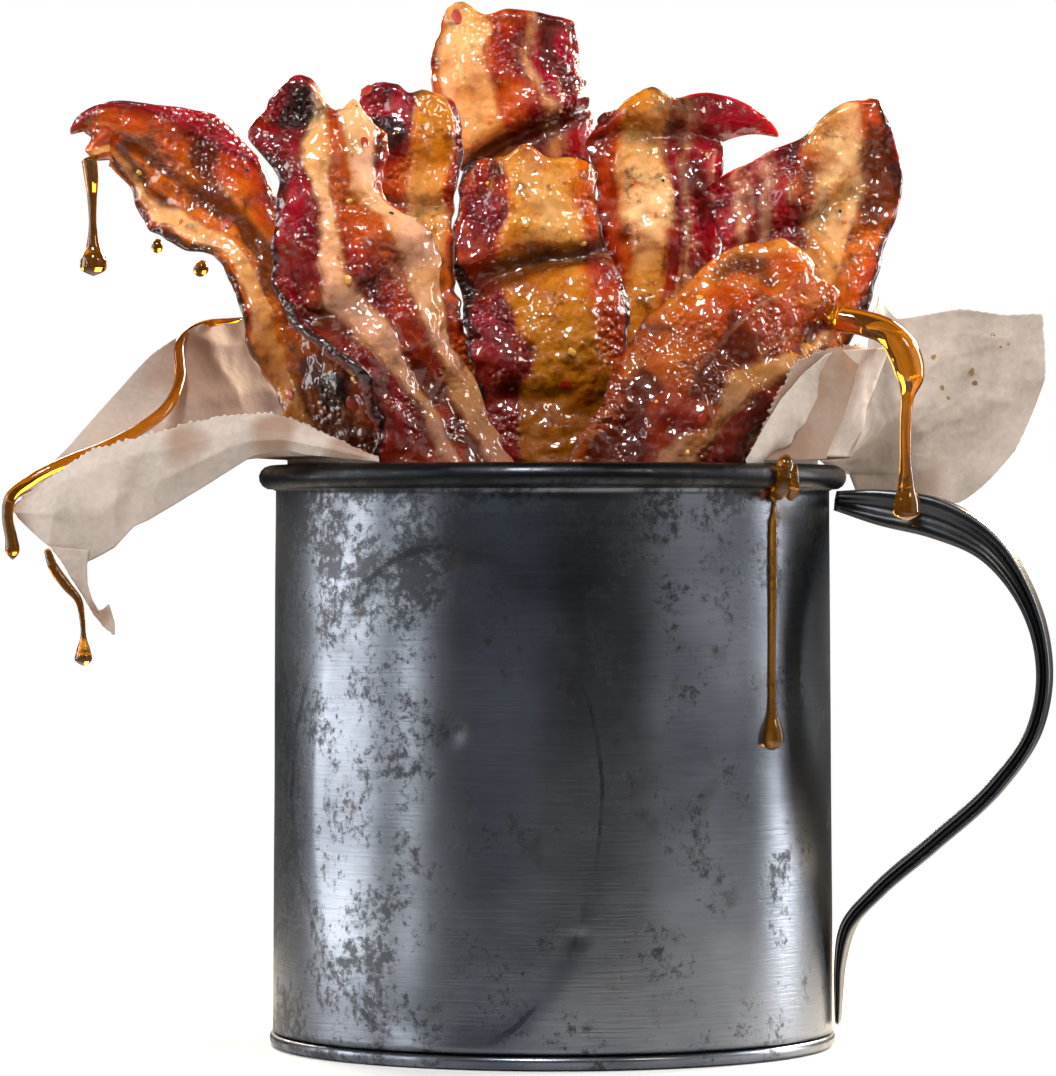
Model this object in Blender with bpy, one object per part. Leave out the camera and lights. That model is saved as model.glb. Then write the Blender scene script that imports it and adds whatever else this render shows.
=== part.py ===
"""Cooked bacon strips standing in a steel mug lined with baking paper.

Metres, +Z up. The origin is the centre of the mug's flat base, the handle
points along +X and the front of the bunch faces -Y. Sizes below are in mm.
"""
import math

import bpy
import numpy as np
from mathutils import Vector

MM = 0.001

# mug
RIM_HEIGHT = 96.0
BEAD_RADIUS = 2.0
BEAD_CENTRE = 46.75
WALL_TOP_RADIUS = 45.9
WALL_FOOT_RADIUS = 46.5
WALL_THICK = 0.9
WALL_FOOT_Z = 2.6
BASE_RADIUS = 46.95
BASE_BAND = 2.3
BASE_FLOOR = 1.1
BASE_CORNER = 1.3
MUG_SIDES = 48

# handle: a strap of folded sheet with a bead along both edges
HANDLE_HALF_WIDTH = 7.0
HANDLE_GAP = 0.35
HANDLE_ROUND = -8.0  # degrees round the mug from +X
HANDLE_STEPS = 22
# along the strap: x, z of its middle line, and its depth in the plane of the loop
HANDLE_LINE = [
    (46.9, 90.2, 3.0),
    (55.0, 89.0, 6.0),
    (64.4, 87.0, 6.6),
    (72.4, 82.6, 5.0),
    (77.4, 76.2, 3.4),
    (80.7, 68.0, 2.5),
    (81.4, 60.0, 2.3),
    (79.8, 52.6, 2.4),
    (73.6, 43.4, 2.8),
    (63.4, 34.0, 2.8),
    (54.2, 26.0, 2.6),
    (49.4, 20.4, 2.2),
    (47.9, 14.0, 1.4),
    (47.6, 8.0, 1.0),
    (47.5, 3.6, 0.7),
]

# baking paper
PAPER_THICK = 0.5
LINER_RADIUS = 43.9
LINER_FOOT = 40.0
LIP_RADIUS = 49.6
LIP_HEIGHT = 97.4

# bacon
STRIP_THICK = 2.9
STRIP_EDGE_THICK = 1.7
STRIP_ROWS = 27
STRIP_COLUMNS = 6


def spline(table, t):
    """A smooth curve through the rows of a table, t from 0 to 1 by chord length."""
    p = np.array(table, float)
    step = np.linalg.norm(np.diff(p[:, : min(3, p.shape[1])], axis=0), axis=1)
    s = np.concatenate([[0.0], np.cumsum(step)])
    s = s / s[-1]
    n = len(p)
    slope = np.zeros_like(p)
    for i in range(1, n - 1):
        a = (p[i] - p[i - 1]) / (s[i] - s[i - 1])
        b = (p[i + 1] - p[i]) / (s[i + 1] - s[i])
        w = (s[i + 1] - s[i]) / (s[i + 1] - s[i - 1])
        slope[i] = a * w + b * (1 - w)
    slope[0] = (p[1] - p[0]) / (s[1] - s[0])
    slope[-1] = (p[-1] - p[-2]) / (s[-1] - s[-2])
    i = min(max(int(np.searchsorted(s, t) - 1), 0), n - 2)
    h = s[i + 1] - s[i]
    x = (t - s[i]) / h
    a = (1 + 2 * x) * (1 - x) ** 2
    b = x * (1 - x) ** 2
    c = x * x * (3 - 2 * x)
    d = x * x * (x - 1)
    return a * p[i] + b * h * slope[i] + c * p[i + 1] + d * h * slope[i + 1]


def smooth(a, b, x):
    t = min(max((x - a) / (b - a), 0.0), 1.0)
    return t * t * (3 - 2 * t)


def make(name, points, faces, colour, rough, metal=0.0):
    mesh = bpy.data.meshes.new(name)
    mesh.from_pydata([tuple(float(c) * MM for c in p) for p in points], [], faces)
    mesh.validate()
    mesh.update()
    obj = bpy.data.objects.new(name, mesh)
    bpy.context.scene.collection.objects.link(obj)
    mat = bpy.data.materials.new("mat_" + name)
    mat.use_nodes = True
    shader = mat.node_tree.nodes["Principled BSDF"]
    shader.inputs["Base Color"].default_value = (*colour, 1.0)
    shader.inputs["Roughness"].default_value = rough
    shader.inputs["Metallic"].default_value = metal
    mesh.materials.append(mat)
    return obj


def revolve(name, profile, closed, colour, rough, metal):
    """A solid of revolution; an open profile starts and ends on the axis."""
    points = []
    faces = []
    rings = []
    for r, z in profile:
        if r < 1e-6:
            rings.append([len(points)] * MUG_SIDES)
            points.append((0.0, 0.0, z))
            continue
        rings.append(list(range(len(points), len(points) + MUG_SIDES)))
        for k in range(MUG_SIDES):
            a = 2 * math.pi * k / MUG_SIDES
            points.append((r * math.cos(a), r * math.sin(a), z))
    pairs = list(zip(rings, rings[1:]))
    if closed:
        pairs.append((rings[-1], rings[0]))
    for low, high in pairs:
        for k in range(MUG_SIDES):
            n = (k + 1) % MUG_SIDES
            face = []
            for v in (low[k], low[n], high[n], high[k]):
                if v not in face:
                    face.append(v)
            faces.append(face)
    return make(name, points, faces, colour, rough, metal)


def slab(name, middle, normal, thick, colour, rough):
    """A closed sheet: a grid of middle points, each with a normal and a thickness."""
    rows, cols = middle.shape[:2]
    top = middle + normal * thick[..., None] / 2
    low = middle - normal * thick[..., None] / 2
    points = list(top.reshape(-1, 3)) + list(low.reshape(-1, 3))
    half = rows * cols

    def at(i, j, side):
        return side * half + i * cols + j

    faces = []
    for i in range(rows - 1):
        for j in range(cols - 1):
            # both sides are split along the same diagonal, so a twisted cell stays whole
            faces.append((at(i, j, 0), at(i, j + 1, 0), at(i + 1, j + 1, 0)))
            faces.append((at(i, j, 0), at(i + 1, j + 1, 0), at(i + 1, j, 0)))
            faces.append((at(i + 1, j + 1, 1), at(i, j + 1, 1), at(i, j, 1)))
            faces.append((at(i + 1, j, 1), at(i + 1, j + 1, 1), at(i, j, 1)))
    for i in range(rows - 1):
        faces.append((at(i, 0, 1), at(i, 0, 0), at(i + 1, 0, 0), at(i + 1, 0, 1)))
        j = cols - 1
        faces.append((at(i, j, 0), at(i, j, 1), at(i + 1, j, 1), at(i + 1, j, 0)))
    for j in range(cols - 1):
        faces.append((at(0, j, 0), at(0, j, 1), at(0, j + 1, 1), at(0, j + 1, 0)))
        i = rows - 1
        faces.append((at(i, j, 1), at(i, j, 0), at(i, j + 1, 0), at(i, j + 1, 1)))
    return make(name, points, faces, colour, rough)


def grid_normals(p):
    du = np.gradient(p, axis=0)
    dv = np.gradient(p, axis=1)
    n = np.cross(dv, du)
    return n / np.maximum(np.linalg.norm(n, axis=2, keepdims=True), 1e-9)


# ---------------------------------------------------------------- start clean
for old in list(bpy.data.objects):
    bpy.data.objects.remove(old, do_unlink=True)

# ---------------------------------------------------------------- mug
# Wall: one drawn sheet, its top edge rolled outward into a bead.
wall = [(WALL_FOOT_RADIUS - WALL_THICK, WALL_FOOT_Z), (WALL_FOOT_RADIUS, WALL_FOOT_Z)]
wall.append(((WALL_FOOT_RADIUS + WALL_TOP_RADIUS) / 2, RIM_HEIGHT / 2))
wall.append((WALL_TOP_RADIUS, RIM_HEIGHT - 2 * BEAD_RADIUS))
bead_z = RIM_HEIGHT - BEAD_RADIUS
for k in range(9):
    a = math.radians(-110 + k * 280 / 8)
    wall.append((BEAD_CENTRE + BEAD_RADIUS * math.cos(a), bead_z + BEAD_RADIUS * math.sin(a)))
wall.append((WALL_TOP_RADIUS - WALL_THICK, RIM_HEIGHT - 2 * BEAD_RADIUS - 1.0))
wall.append(((WALL_FOOT_RADIUS + WALL_TOP_RADIUS) / 2 - WALL_THICK, RIM_HEIGHT / 2))
revolve("mug_wall", wall, True, (0.28, 0.29, 0.31), 0.38, 0.9)

# Base: a pressed disc whose band hides the wall's seam; its underside is flat.
base = [(0.0, 0.0), (BASE_RADIUS - BASE_CORNER, 0.0)]
for k in (1, 2):
    a = math.radians(-90 + 45 * k)
    base.append(
        (BASE_RADIUS - BASE_CORNER + BASE_CORNER * math.cos(a), BASE_CORNER + BASE_CORNER * math.sin(a))
    )
base.append((BASE_RADIUS, BASE_BAND))
base.append((WALL_FOOT_RADIUS - WALL_THICK - 0.7, BASE_BAND))
base.append((WALL_FOOT_RADIUS - WALL_THICK - 0.7, BASE_FLOOR))
base.append((0.0, BASE_FLOOR))
revolve("mug_base", base, False, (0.26, 0.27, 0.29), 0.4, 0.9)

# Handle: its side faces are hollow between the two beaded edges.
points = []
faces = []
SECTION = [
    (-1.0, 0.50),
    (-0.82, 0.50),
    (0.82, 0.50),
    (1.0, 0.50),
    (1.0, 0.26),
    (0.86, 0.0),
    (1.0, -0.26),
    (1.0, -0.50),
    (-1.0, -0.50),
    (-1.0, -0.26),
    (-0.86, 0.0),
    (-1.0, 0.26),
]
ring = len(SECTION)
for k in range(HANDLE_STEPS):
    t = k / (HANDLE_STEPS - 1)
    x, z, depth = spline(HANDLE_LINE, t)
    ahead = spline(HANDLE_LINE, min(t + 0.01, 1.0)) - spline(HANDLE_LINE, max(t - 0.01, 0.0))
    length = math.hypot(ahead[0], ahead[1])
    out = (-ahead[1] / length, ahead[0] / length)
    half = HANDLE_HALF_WIDTH * (1 - 0.62 * smooth(0.84, 1.0, t))
    for w, d in SECTION:
        y = w * half
        px = x + out[0] * d * depth
        pz = z + out[1] * d * depth
        foot = math.sqrt(WALL_FOOT_RADIUS**2 - y * y) + HANDLE_GAP
        px = max(px, foot)
        if pz > RIM_HEIGHT - 2 * BEAD_RADIUS - 1.5:
            px = max(px, foot)
            pz = min(pz, RIM_HEIGHT - 2 * BEAD_RADIUS - HANDLE_GAP)
        a = math.radians(HANDLE_ROUND)
        points.append((px * math.cos(a) - y * math.sin(a), px * math.sin(a) + y * math.cos(a), pz))
for k in range(HANDLE_STEPS - 1):
    for j in range(ring):
        n = (j + 1) % ring
        a = k * ring
        faces.append((a + j, a + ring + j, a + ring + n, a + n))
faces.append(tuple(range(ring)))
faces.append(tuple(range((HANDLE_STEPS - 1) * ring, HANDLE_STEPS * ring))[::-1])
make("mug_handle", points, faces, (0.1, 0.1, 0.11), 0.4, 0.9)


# ---------------------------------------------------------------- paper
def paper(name, columns, fan, sag):
    """A sheet that lines the wall, passes over the bead and opens into a flap.

    Each column is its angle round the rim in degrees, the point its fold
    stands at, and the point of the sheet's cut edge.
    """
    count = fan
    across = []
    table = np.array(columns, float)
    for k in range(count):
        t = k / (count - 1)
        i = t * (len(table) - 1)
        lo = min(int(i), len(table) - 2)
        f = i - lo
        row = table[lo] * (1 - f) + table[lo + 1] * f
        a = math.radians(row[0])
        fold = row[1:4]
        edge = row[4:7]
        cs = np.array((math.cos(a), math.sin(a)))
        foot = (LINER_RADIUS * cs[0], LINER_RADIUS * cs[1], LINER_FOOT)
        rim = (LINER_RADIUS * cs[0], LINER_RADIUS * cs[1], RIM_HEIGHT - 3.0)
        lip_r = min(LIP_RADIUS, max(LINER_RADIUS, math.hypot(fold[0], fold[1]) - 1.5))
        lip_z = LIP_HEIGHT if lip_r > BEAD_CENTRE - 1.5 else min(LIP_HEIGHT, fold[2] - 1.0)
        lip = np.array((lip_r * cs[0], lip_r * cs[1], lip_z))
        near = np.array((LINER_RADIUS * cs[0], LINER_RADIUS * cs[1], lip_z - 0.3))
        mid = (lip + fold) / 2 - np.array((0.0, 0.0, sag * np.linalg.norm(fold - lip) / 20))
        line = [np.array(foot), np.array(rim), near, lip, mid, fold, (fold + edge) / 2, edge]
        across.append(line)
    grid = np.array(across).transpose(1, 0, 2)
    normal = grid_normals(grid)
    thick = np.full(grid.shape[:2], PAPER_THICK)
    return slab(name, grid, normal, thick, (0.62, 0.55, 0.48), 0.8)


LEFT_PAPER = [
    (-129, -27.6, -34.1, 95.4, -27.6, -34.1, 96.6),
    (-143, -36.8, -28.8, 100.2, -37.4, -31.2, 98.6),
    (-154, -50.2, -27.0, 102.0, -49.6, -30.0, 97.2),
    (-164, -60.5, -26.5, 99.8, -58.5, -29.5, 90.2),
    (-172, -71.0, -25.5, 97.2, -70.0, -28.5, 82.6),
    (-178, -79.6, -24.5, 94.0, -71.8, -27.0, 67.6),
    (-182, -84.0, -20.8, 91.8, -88.2, -22.0, 89.2),
    (-185, -78.0, -15.5, 95.0, -80.8, -15.0, 97.0),
    (-188, -69.5, -8.0, 100.5, -73.3, -6.0, 106.5),
    (-191, -62.5, -1.0, 105.5, -66.8, 1.0, 114.4),
    (-195, -54.0, 7.0, 108.0, -58.5, 8.5, 120.0),
    (-202, -46.5, 16.0, 109.0, -49.0, 17.5, 121.0),
    (-216, -36.6, 28.0, 103.0, -37.5, 29.0, 110.0),
]
paper("paper_left", LEFT_PAPER, 35, 0.6)

RIGHT_PAPER = [
    (-46, 30.5, -31.5, 95.4, 30.5, -31.5, 96.6),
    (-39, 36.4, -30.0, 101.0, 36.6, -30.4, 107.0),
    (-31, 42.0, -26.0, 105.5, 43.2, -26.8, 113.6),
    (-21, 48.4, -18.5, 107.0, 51.6, -18.0, 115.4),
    (-10, 51.5, -7.5, 107.0, 54.2, -7.0, 117.0),
    (-3, 53.6, 5.0, 109.0, 55.0, 7.0, 124.6),
    (2, 57.0, 9.5, 109.0, 57.6, 11.5, 120.8),
    (7, 62.0, 12.5, 110.0, 68.0, 15.0, 122.4),
    (11, 69.0, 14.5, 110.0, 81.6, 17.5, 121.2),
    (15, 71.0, 15.2, 106.0, 82.8, 17.5, 111.0),
    (18, 67.0, 15.8, 100.0, 78.0, 17.0, 98.6),
    (21, 60.5, 16.6, 95.5, 69.0, 16.0, 90.0),
    (24, 50.5, 19.5, 95.0, 52.0, 18.0, 90.4),
]
paper("paper_right", RIGHT_PAPER, 35, 0.3)


# ---------------------------------------------------------------- bacon
def strip(name, route, ripple, waves, phase, skew, cap, colour):
    """A strip of bacon along its route.

    Each row of the route is x, y, z of the middle line, the strip's width,
    how far it is turned about its length (degrees, right edge to the back)
    and how far its section is cupped (degrees, edges to the back). ripple is
    the depth of the waves its edges shrank into, skew how much higher the
    right corner of its end stands, and cap the radius of the end's corners.
    """
    rows = STRIP_ROWS
    cols = STRIP_COLUMNS
    grid = np.zeros((rows, cols, 3))
    face = np.zeros((rows, cols, 3))
    thick = np.zeros((rows, cols))
    p = np.array(route, float)
    total = np.linalg.norm(np.diff(p[:, :3], axis=0), axis=1).sum()
    for i in range(rows):
        u = 1 - (1 - i / (rows - 1)) ** 1.25
        here = spline(route, u)
        ahead = spline(route, min(u + 0.012, 1.0))[:3] - spline(route, max(u - 0.012, 0.0))[:3]
        t = Vector(ahead).normalized()
        toward = Vector((0.0, -1.0, 0.0))
        n = (toward - t * toward.dot(t)).normalized()
        w = t.cross(n)
        turn = math.radians(here[4])
        across = w * math.cos(turn) - n * math.sin(turn)
        out = n * math.cos(turn) + w * math.sin(turn)
        left = (1 - u) * total
        shape = math.sqrt(max(1 - (1 - min(left / cap, 1.0)) ** 2, 0.0)) if left < cap else 1.0
        half = max(here[3] / 2 * shape, here[3] * 0.26)
        bend = math.radians(max(abs(here[5]), 1.0)) * (1 if here[5] >= 0 else -1)
        for j in range(cols):
            v = -1 + 2 * j / (cols - 1)
            radius = half / abs(bend / 2)
            side = radius * math.sin(v * abs(bend) / 2)
            back = radius * (1 - math.cos(v * abs(bend) / 2)) * (1 if bend > 0 else -1)
            wave = math.sin(2 * math.pi * waves * u + phase + 0.7 * v)
            wave += 0.5 * math.sin(2 * math.pi * waves * 1.73 * u + 2.1 * phase - 1.3 * v)
            lift = ripple * wave * (0.25 + 0.75 * v * v) * smooth(0.25, 0.5, u)
            slide = skew * side / (here[3] / 2) * smooth(0.6, 1.0, u)
            q = Vector(here[:3]) + across * side - out * back + out * lift + t * slide
            grid[i, j] = q
            face[i, j] = out
            thick[i, j] = STRIP_THICK + (STRIP_EDGE_THICK - STRIP_THICK) * v**4
            if i in (0, rows - 1):
                thick[i, j] = STRIP_EDGE_THICK
    normal = grid_normals(grid)
    flip = (normal * face).sum(axis=2, keepdims=True)
    normal = np.where(flip.mean() < 0, -normal, normal)
    if flip.mean() < 0:
        grid = grid[:, ::-1]
        normal = normal[:, ::-1]
        thick = thick[:, ::-1]
        normal = grid_normals(grid)
    return slab(name, grid, normal, thick, colour, 0.35)


strip(
    "strip_far_left",
    [
        (-30.0, -11.0, 16.0, 21, -48, 10),
        (-30.5, -12.0, 60.0, 21, -46, 10),
        (-30.4, -14.5, 94.0, 20.5, -44, 20),
        (-34.6, -15.0, 105.0, 20.5, -36, 20),
        (-39.6, -14.0, 115.0, 19.5, -12, 16),
        (-44.6, -12.0, 124.5, 16, 24, 14),
        (-49.2, -10.5, 132.4, 14.5, 30, 14),
        (-55.5, -9.5, 138.4, 18.5, 10, 20),
        (-61.8, -9.0, 143.2, 18, -6, 30),
        (-67.6, -9.5, 147.2, 12, -16, 30),
        (-73.0, -10.5, 149.4, 8.5, -16, 20),
        (-77.2, -11.5, 147.0, 6.5, -10, 10),
    ],
    1.2, 4.0, 0.6, 0.0, 4.0, (0.45, 0.14, 0.04),
)
strip(
    "strip_left_front",
    [
        (-14.0, -30.0, 16.0, 21, 6, 10),
        (-16.0, -29.0, 60.0, 22, 5, 10),
        (-17.0, -28.0, 95.0, 22.5, 12, 20),
        (-22.0, -27.5, 107.0, 21, 36, 16),
        (-26.5, -29.0, 117.0, 24, 24, 20),
        (-31.0, -30.0, 125.5, 28.5, 4, 34),
        (-34.2, -28.5, 132.5, 24, 14, 20),
        (-35.8, -27.0, 138.5, 18, 24, 14),
        (-36.2, -27.0, 146.5, 20.5, 6, 40),
        (-36.2, -25.0, 153.0, 18, 0, 70),
        (-35.6, -21.5, 157.4, 14, 0, 80),
    ],
    1.2, 4.4, 2.2, 0.0, 4.0, (0.4, 0.12, 0.06),
)
strip(
    "strip_left_back",
    [
        (-14.5, -4.0, 16.0, 23, 10, 10),
        (-15.5, -4.0, 60.0, 23, 8, 10),
        (-20.0, -3.5, 95.0, 24, 4, 14),
        (-27.0, -4.0, 118.0, 24, 0, 20),
        (-27.8, -3.5, 136.0, 23, -6, 30),
        (-25.4, -2.5, 149.0, 18, 8, 34),
        (-24.0, -2.0, 157.4, 11, 8, 34),
    ],
    1.2, 4.2, 1.0, 0.0, 3.4, (0.42, 0.16, 0.05),
)
strip(
    "strip_centre_front",
    [
        (0.0, -19.0, 16.0, 24, 0, 8),
        (0.0, -18.5, 60.0, 25, 0, 8),
        (0.6, -17.5, 96.0, 26, 0, 14),
        (0.2, -16.5, 108.0, 27, 4, 20),
        (-1.0, -17.5, 121.0, 26.5, 0, 24),
        (-2.8, -15.0, 129.0, 25.5, 0, 18),
        (-4.0, -15.5, 138.0, 24, 0, 26),
        (-4.4, -13.5, 147.6, 20, 0, 24),
    ],
    1.0, 3.6, 3.0, -1.2, 3.0, (0.6, 0.27, 0.05),
)
strip(
    "strip_centre_back",
    [
        (0.0, 12.0, 16.0, 24, 0, 8),
        (0.0, 12.0, 60.0, 24, 0, 8),
        (-1.0, 12.0, 96.0, 24, 0, 10),
        (-3.0, 12.0, 128.0, 22, 10, 14),
        (-4.2, 12.5, 145.0, 23, 4, 16),
        (-6.0, 9.6, 153.0, 26.8, 0, 20),
        (-7.4, 9.0, 162.0, 24.6, 0, 26),
        (-7.2, 10.5, 172.2, 21.5, 0, 24),
    ],
    1.0, 4.0, 0.2, -0.6, 3.2, (0.5, 0.16, 0.08),
)
strip(
    "strip_right_back",
    [
        (13.5, 1.0, 16.0, 22, 0, 8),
        (14.0, 1.0, 60.0, 22, 0, 8),
        (14.5, 1.5, 96.0, 22, 4, 10),
        (15.6, 2.5, 118.0, 21.5, 8, 14),
        (17.4, 3.5, 131.0, 22.5, 4, 26),
        (18.0, 3.0, 142.0, 22, 0, 20),
        (20.4, 2.6, 149.0, 26, 4, 36),
        (24.6, 3.4, 153.8, 30, 6, 56),
    ],
    1.0, 4.0, 4.0, 0.4, 3.6, (0.5, 0.14, 0.05),
)
strip(
    "strip_far_right",
    [
        (33.0, 3.0, 16.0, 21, 62, 8),
        (33.0, 3.0, 60.0, 21, 62, 8),
        (32.5, 2.5, 96.0, 22, 45, 10),
        (35.0, 0.5, 111.0, 23, 16, 14),
        (38.8, -0.5, 121.0, 25, 4, 18),
        (41.6, -0.5, 131.0, 28, 0, 22),
        (43.0, 0.5, 141.0, 28.5, 0, 24),
        (42.8, 1.0, 150.6, 24, -4, 24),
    ],
    1.0, 4.2, 5.2, 6.6, 4.0, (0.5, 0.08, 0.06),
)
strip(
    "strip_right_front",
    [
        (12.0, -29.5, 16.0, 22, 0, 8),
        (13.0, -29.5, 60.0, 23, 0, 8),
        (15.2, -28.2, 93.0, 26.5, 0, 14),
        (21.6, -27.0, 105.0, 26, 0, 20),
        (28.6, -25.0, 114.5, 26, -2, 24),
        (36.6, -21.5, 121.0, 24, -6, 28),
        (45.6, -17.0, 123.0, 14, -10, 30),
    ],
    1.0, 3.4, 1.6, 0.0, 5.0, (0.5, 0.13, 0.04),
)
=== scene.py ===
import math

import bpy
import numpy as np
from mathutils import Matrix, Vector


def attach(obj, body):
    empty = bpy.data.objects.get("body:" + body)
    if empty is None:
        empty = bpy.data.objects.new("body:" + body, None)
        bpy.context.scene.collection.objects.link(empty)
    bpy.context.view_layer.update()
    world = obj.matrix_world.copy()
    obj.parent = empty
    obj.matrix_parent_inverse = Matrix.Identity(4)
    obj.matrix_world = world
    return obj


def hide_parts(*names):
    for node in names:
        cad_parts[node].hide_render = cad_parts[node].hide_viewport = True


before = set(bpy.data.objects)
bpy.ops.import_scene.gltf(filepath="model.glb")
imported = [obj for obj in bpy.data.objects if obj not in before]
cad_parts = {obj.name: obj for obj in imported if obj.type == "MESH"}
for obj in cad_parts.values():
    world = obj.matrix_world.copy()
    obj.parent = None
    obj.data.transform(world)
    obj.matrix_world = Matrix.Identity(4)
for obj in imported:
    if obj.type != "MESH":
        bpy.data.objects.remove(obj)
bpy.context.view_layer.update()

# ---------------------------------------------------------------- mug wall
# A straight wall drawn from tinned steel sheet, its top edge rolled outward
# into a round bead. The tin has worn off in places, so bright brushed metal
# lies between dark patina, and a large shallow oval is pressed in the front.
WALL_FOOT = 46.5
WALL_TOP = 45.9
WALL_THICK = 0.9
RIM_Z = 96.0
BEAD_R = 2.0
BEAD_MID = 46.75
WALL_AROUND = 320
WALL_UP = 210
MUG_DENTS = [  # x and z on the front, radius, depth
    (-16.0, 53.0, 2.6, 0.35), (4.0, 21.0, 1.4, 0.25), (-30.0, 75.0, 6.0, 0.2),
    (20.0, 62.0, 9.0, 0.15)]
OVAL_X = -17.5
OVAL_Z = 42.5
OVAL_WIDE = 26.0
OVAL_TALL = 40.0
OVAL_DEEP = 0.28
STEEL = {"bright": "#858A92", "steel": "#4C5058", "patina": "#2A2A2C", "brown": "#4A3F35"}


def linear(code, alpha=1.0):
    """An sRGB hex colour as linear values."""
    parts = [int(code[k : k + 2], 16) / 255 for k in (1, 3, 5)]
    parts = [c / 12.92 if c <= 0.04045 else ((c + 0.055) / 1.055) ** 2.4 for c in parts]
    return (*parts, alpha)


def ramp(a, b, x):
    """0 below a, 1 above b, and smooth between."""
    t = np.clip((np.asarray(x, float) - a) / (b - a), 0.0, 1.0)
    return t * t * (3 - 2 * t)


def rough_noise(x, y, z, seed):
    """Smooth noise from -1 to 1 with features about one unit wide."""
    x, y, z = np.broadcast_arrays(np.asarray(x, float), y, z)
    ix, iy, iz = (np.floor(c).astype(np.int64) for c in (x, y, z))
    fx, fy, fz = x - ix, y - iy, z - iz
    fx, fy, fz = (f * f * (3 - 2 * f) for f in (fx, fy, fz))
    out = 0.0
    for dx in (0, 1):
        for dy in (0, 1):
            for dz in (0, 1):
                h = (ix + dx) * 374761393 + (iy + dy) * 668265263 + (iz + dz) * 2147483647
                h = (h + seed * 974634777) & 0xFFFFFFFF
                h = ((h ^ (h >> 13)) * 1274126177) & 0xFFFFFFFF
                h = (h ^ (h >> 16)) & 0xFFFF
                wx = fx if dx else 1 - fx
                wy = fy if dy else 1 - fy
                wz = fz if dz else 1 - fz
                out = out + (h / 32767.5 - 1.0) * wx * wy * wz
    return out


def skin(name, points, weld=False):
    """A grid laid over an array of points, rows by columns, in mm."""
    rows, cols = points.shape[:2]
    bpy.ops.object.select_all(action="DESELECT")
    bpy.ops.mesh.primitive_grid_add(x_subdivisions=cols - 1, y_subdivisions=rows - 1, size=2.0)
    obj = bpy.context.object
    obj.name = name
    obj.data.name = name
    flat = np.ascontiguousarray(points.reshape(-1, 3) / 1000.0)
    assert len(obj.data.vertices) == len(flat), (len(obj.data.vertices), len(flat))
    obj.data.vertices.foreach_set("co", flat.ravel())
    obj.data.update()
    if weld:
        close_up(obj)
    bpy.ops.object.shade_smooth()
    return obj


def close_up(obj):
    """Merges the seam and the poles, and turns the faces outwards."""
    bpy.context.view_layer.objects.active = obj
    bpy.ops.object.mode_set(mode="EDIT")
    bpy.ops.mesh.select_all(action="SELECT")
    bpy.ops.mesh.remove_doubles(threshold=0.00001)
    bpy.ops.mesh.normals_make_consistent(inside=False)
    bpy.ops.object.mode_set(mode="OBJECT")


def along(line, t):
    """Points at fractions t of a polyline's length."""
    line = np.array(line, float)
    step = np.linalg.norm(np.diff(line, axis=0), axis=1)
    s = np.concatenate([[0.0], np.cumsum(step)]) / step.sum()
    return np.stack([np.interp(t, s, line[:, k]) for k in range(line.shape[1])], axis=-1)


def ring_of(profile, turns, rows, press=None):
    """A profile of radius and height turned round the mug's axis."""
    p = along(profile, np.linspace(0, 1, rows))
    a = np.linspace(0, 2 * math.pi, turns + 1)
    r = p[:, 0][:, None] + 0 * a[None]
    z = p[:, 1][:, None] + 0 * a[None]
    if press is not None:
        r = r + press(a[None] + 0 * r, z)
    return np.stack([r * np.cos(a), r * np.sin(a), z], axis=-1)


def add(tree, kind, inputs=(), **settings):
    """A node with its settings and its inputs' values or links. A node given
    as an input is joined by its first output that is in use."""
    node = tree.nodes.new("ShaderNode" + kind)
    for key, value in settings.items():
        setattr(node, key, value)
    for key, value in dict(inputs).items():
        if isinstance(value, bpy.types.Node):
            value = next(out for out in value.outputs if out.enabled)
        if isinstance(value, bpy.types.NodeSocket):
            tree.links.new(value, node.inputs[key])
        else:
            node.inputs[key].default_value = value
    return node


def wear(tree, shader, **ends):
    """Joins nodes to the shader's own sockets, named with _ for a space."""
    for key, node in ends.items():
        out = next(out for out in node.outputs if out.enabled)
        tree.links.new(out, shader.inputs[key.replace("_", " ")])


def blank(name):
    """A material with only its output and a shader joined to it."""
    mat = bpy.data.materials.new(name)
    mat.use_nodes = True
    tree = mat.node_tree
    return mat, tree, tree.nodes["Principled BSDF"]


def join_in(obj, material, slot, *nodes):
    """Gives a finished piece its material and its place on the object."""
    obj.data.materials.clear()
    obj.data.materials.append(material)
    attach(obj, "root")
    if nodes:
        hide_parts(*nodes)
    return obj


def wall_press(a, z):
    """Hand-worked sheet is never quite true: slow waves and a few dents."""
    x, y = np.cos(a), np.sin(a)
    d = 0.10 * rough_noise(2.2 * x + 9, 2.2 * y + 4, z / 38, 3)
    d = d + 0.03 * rough_noise(6 * x, 6 * y, z / 11, 4)
    for dx, dz, size, deep in MUG_DENTS:
        mid = math.asin(dx / WALL_TOP) - math.pi / 2
        off = np.hypot((np.mod(a - mid + math.pi, 2 * math.pi) - math.pi) * WALL_TOP, z - dz)
        d = d - deep * np.exp(-((off / size) ** 2) * 2)
    # the pressed oval is a shallow flat with a soft shoulder
    mid = math.asin(OVAL_X / WALL_TOP) - math.pi / 2
    wide = (np.mod(a - mid + math.pi, 2 * math.pi) - math.pi) * WALL_TOP / OVAL_WIDE
    d = d - OVAL_DEEP * ramp(1.06, 0.94, np.hypot(wide, (z - OVAL_Z) / OVAL_TALL))
    return d * ramp(0, 8, z) * ramp(92, 86, z)


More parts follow.
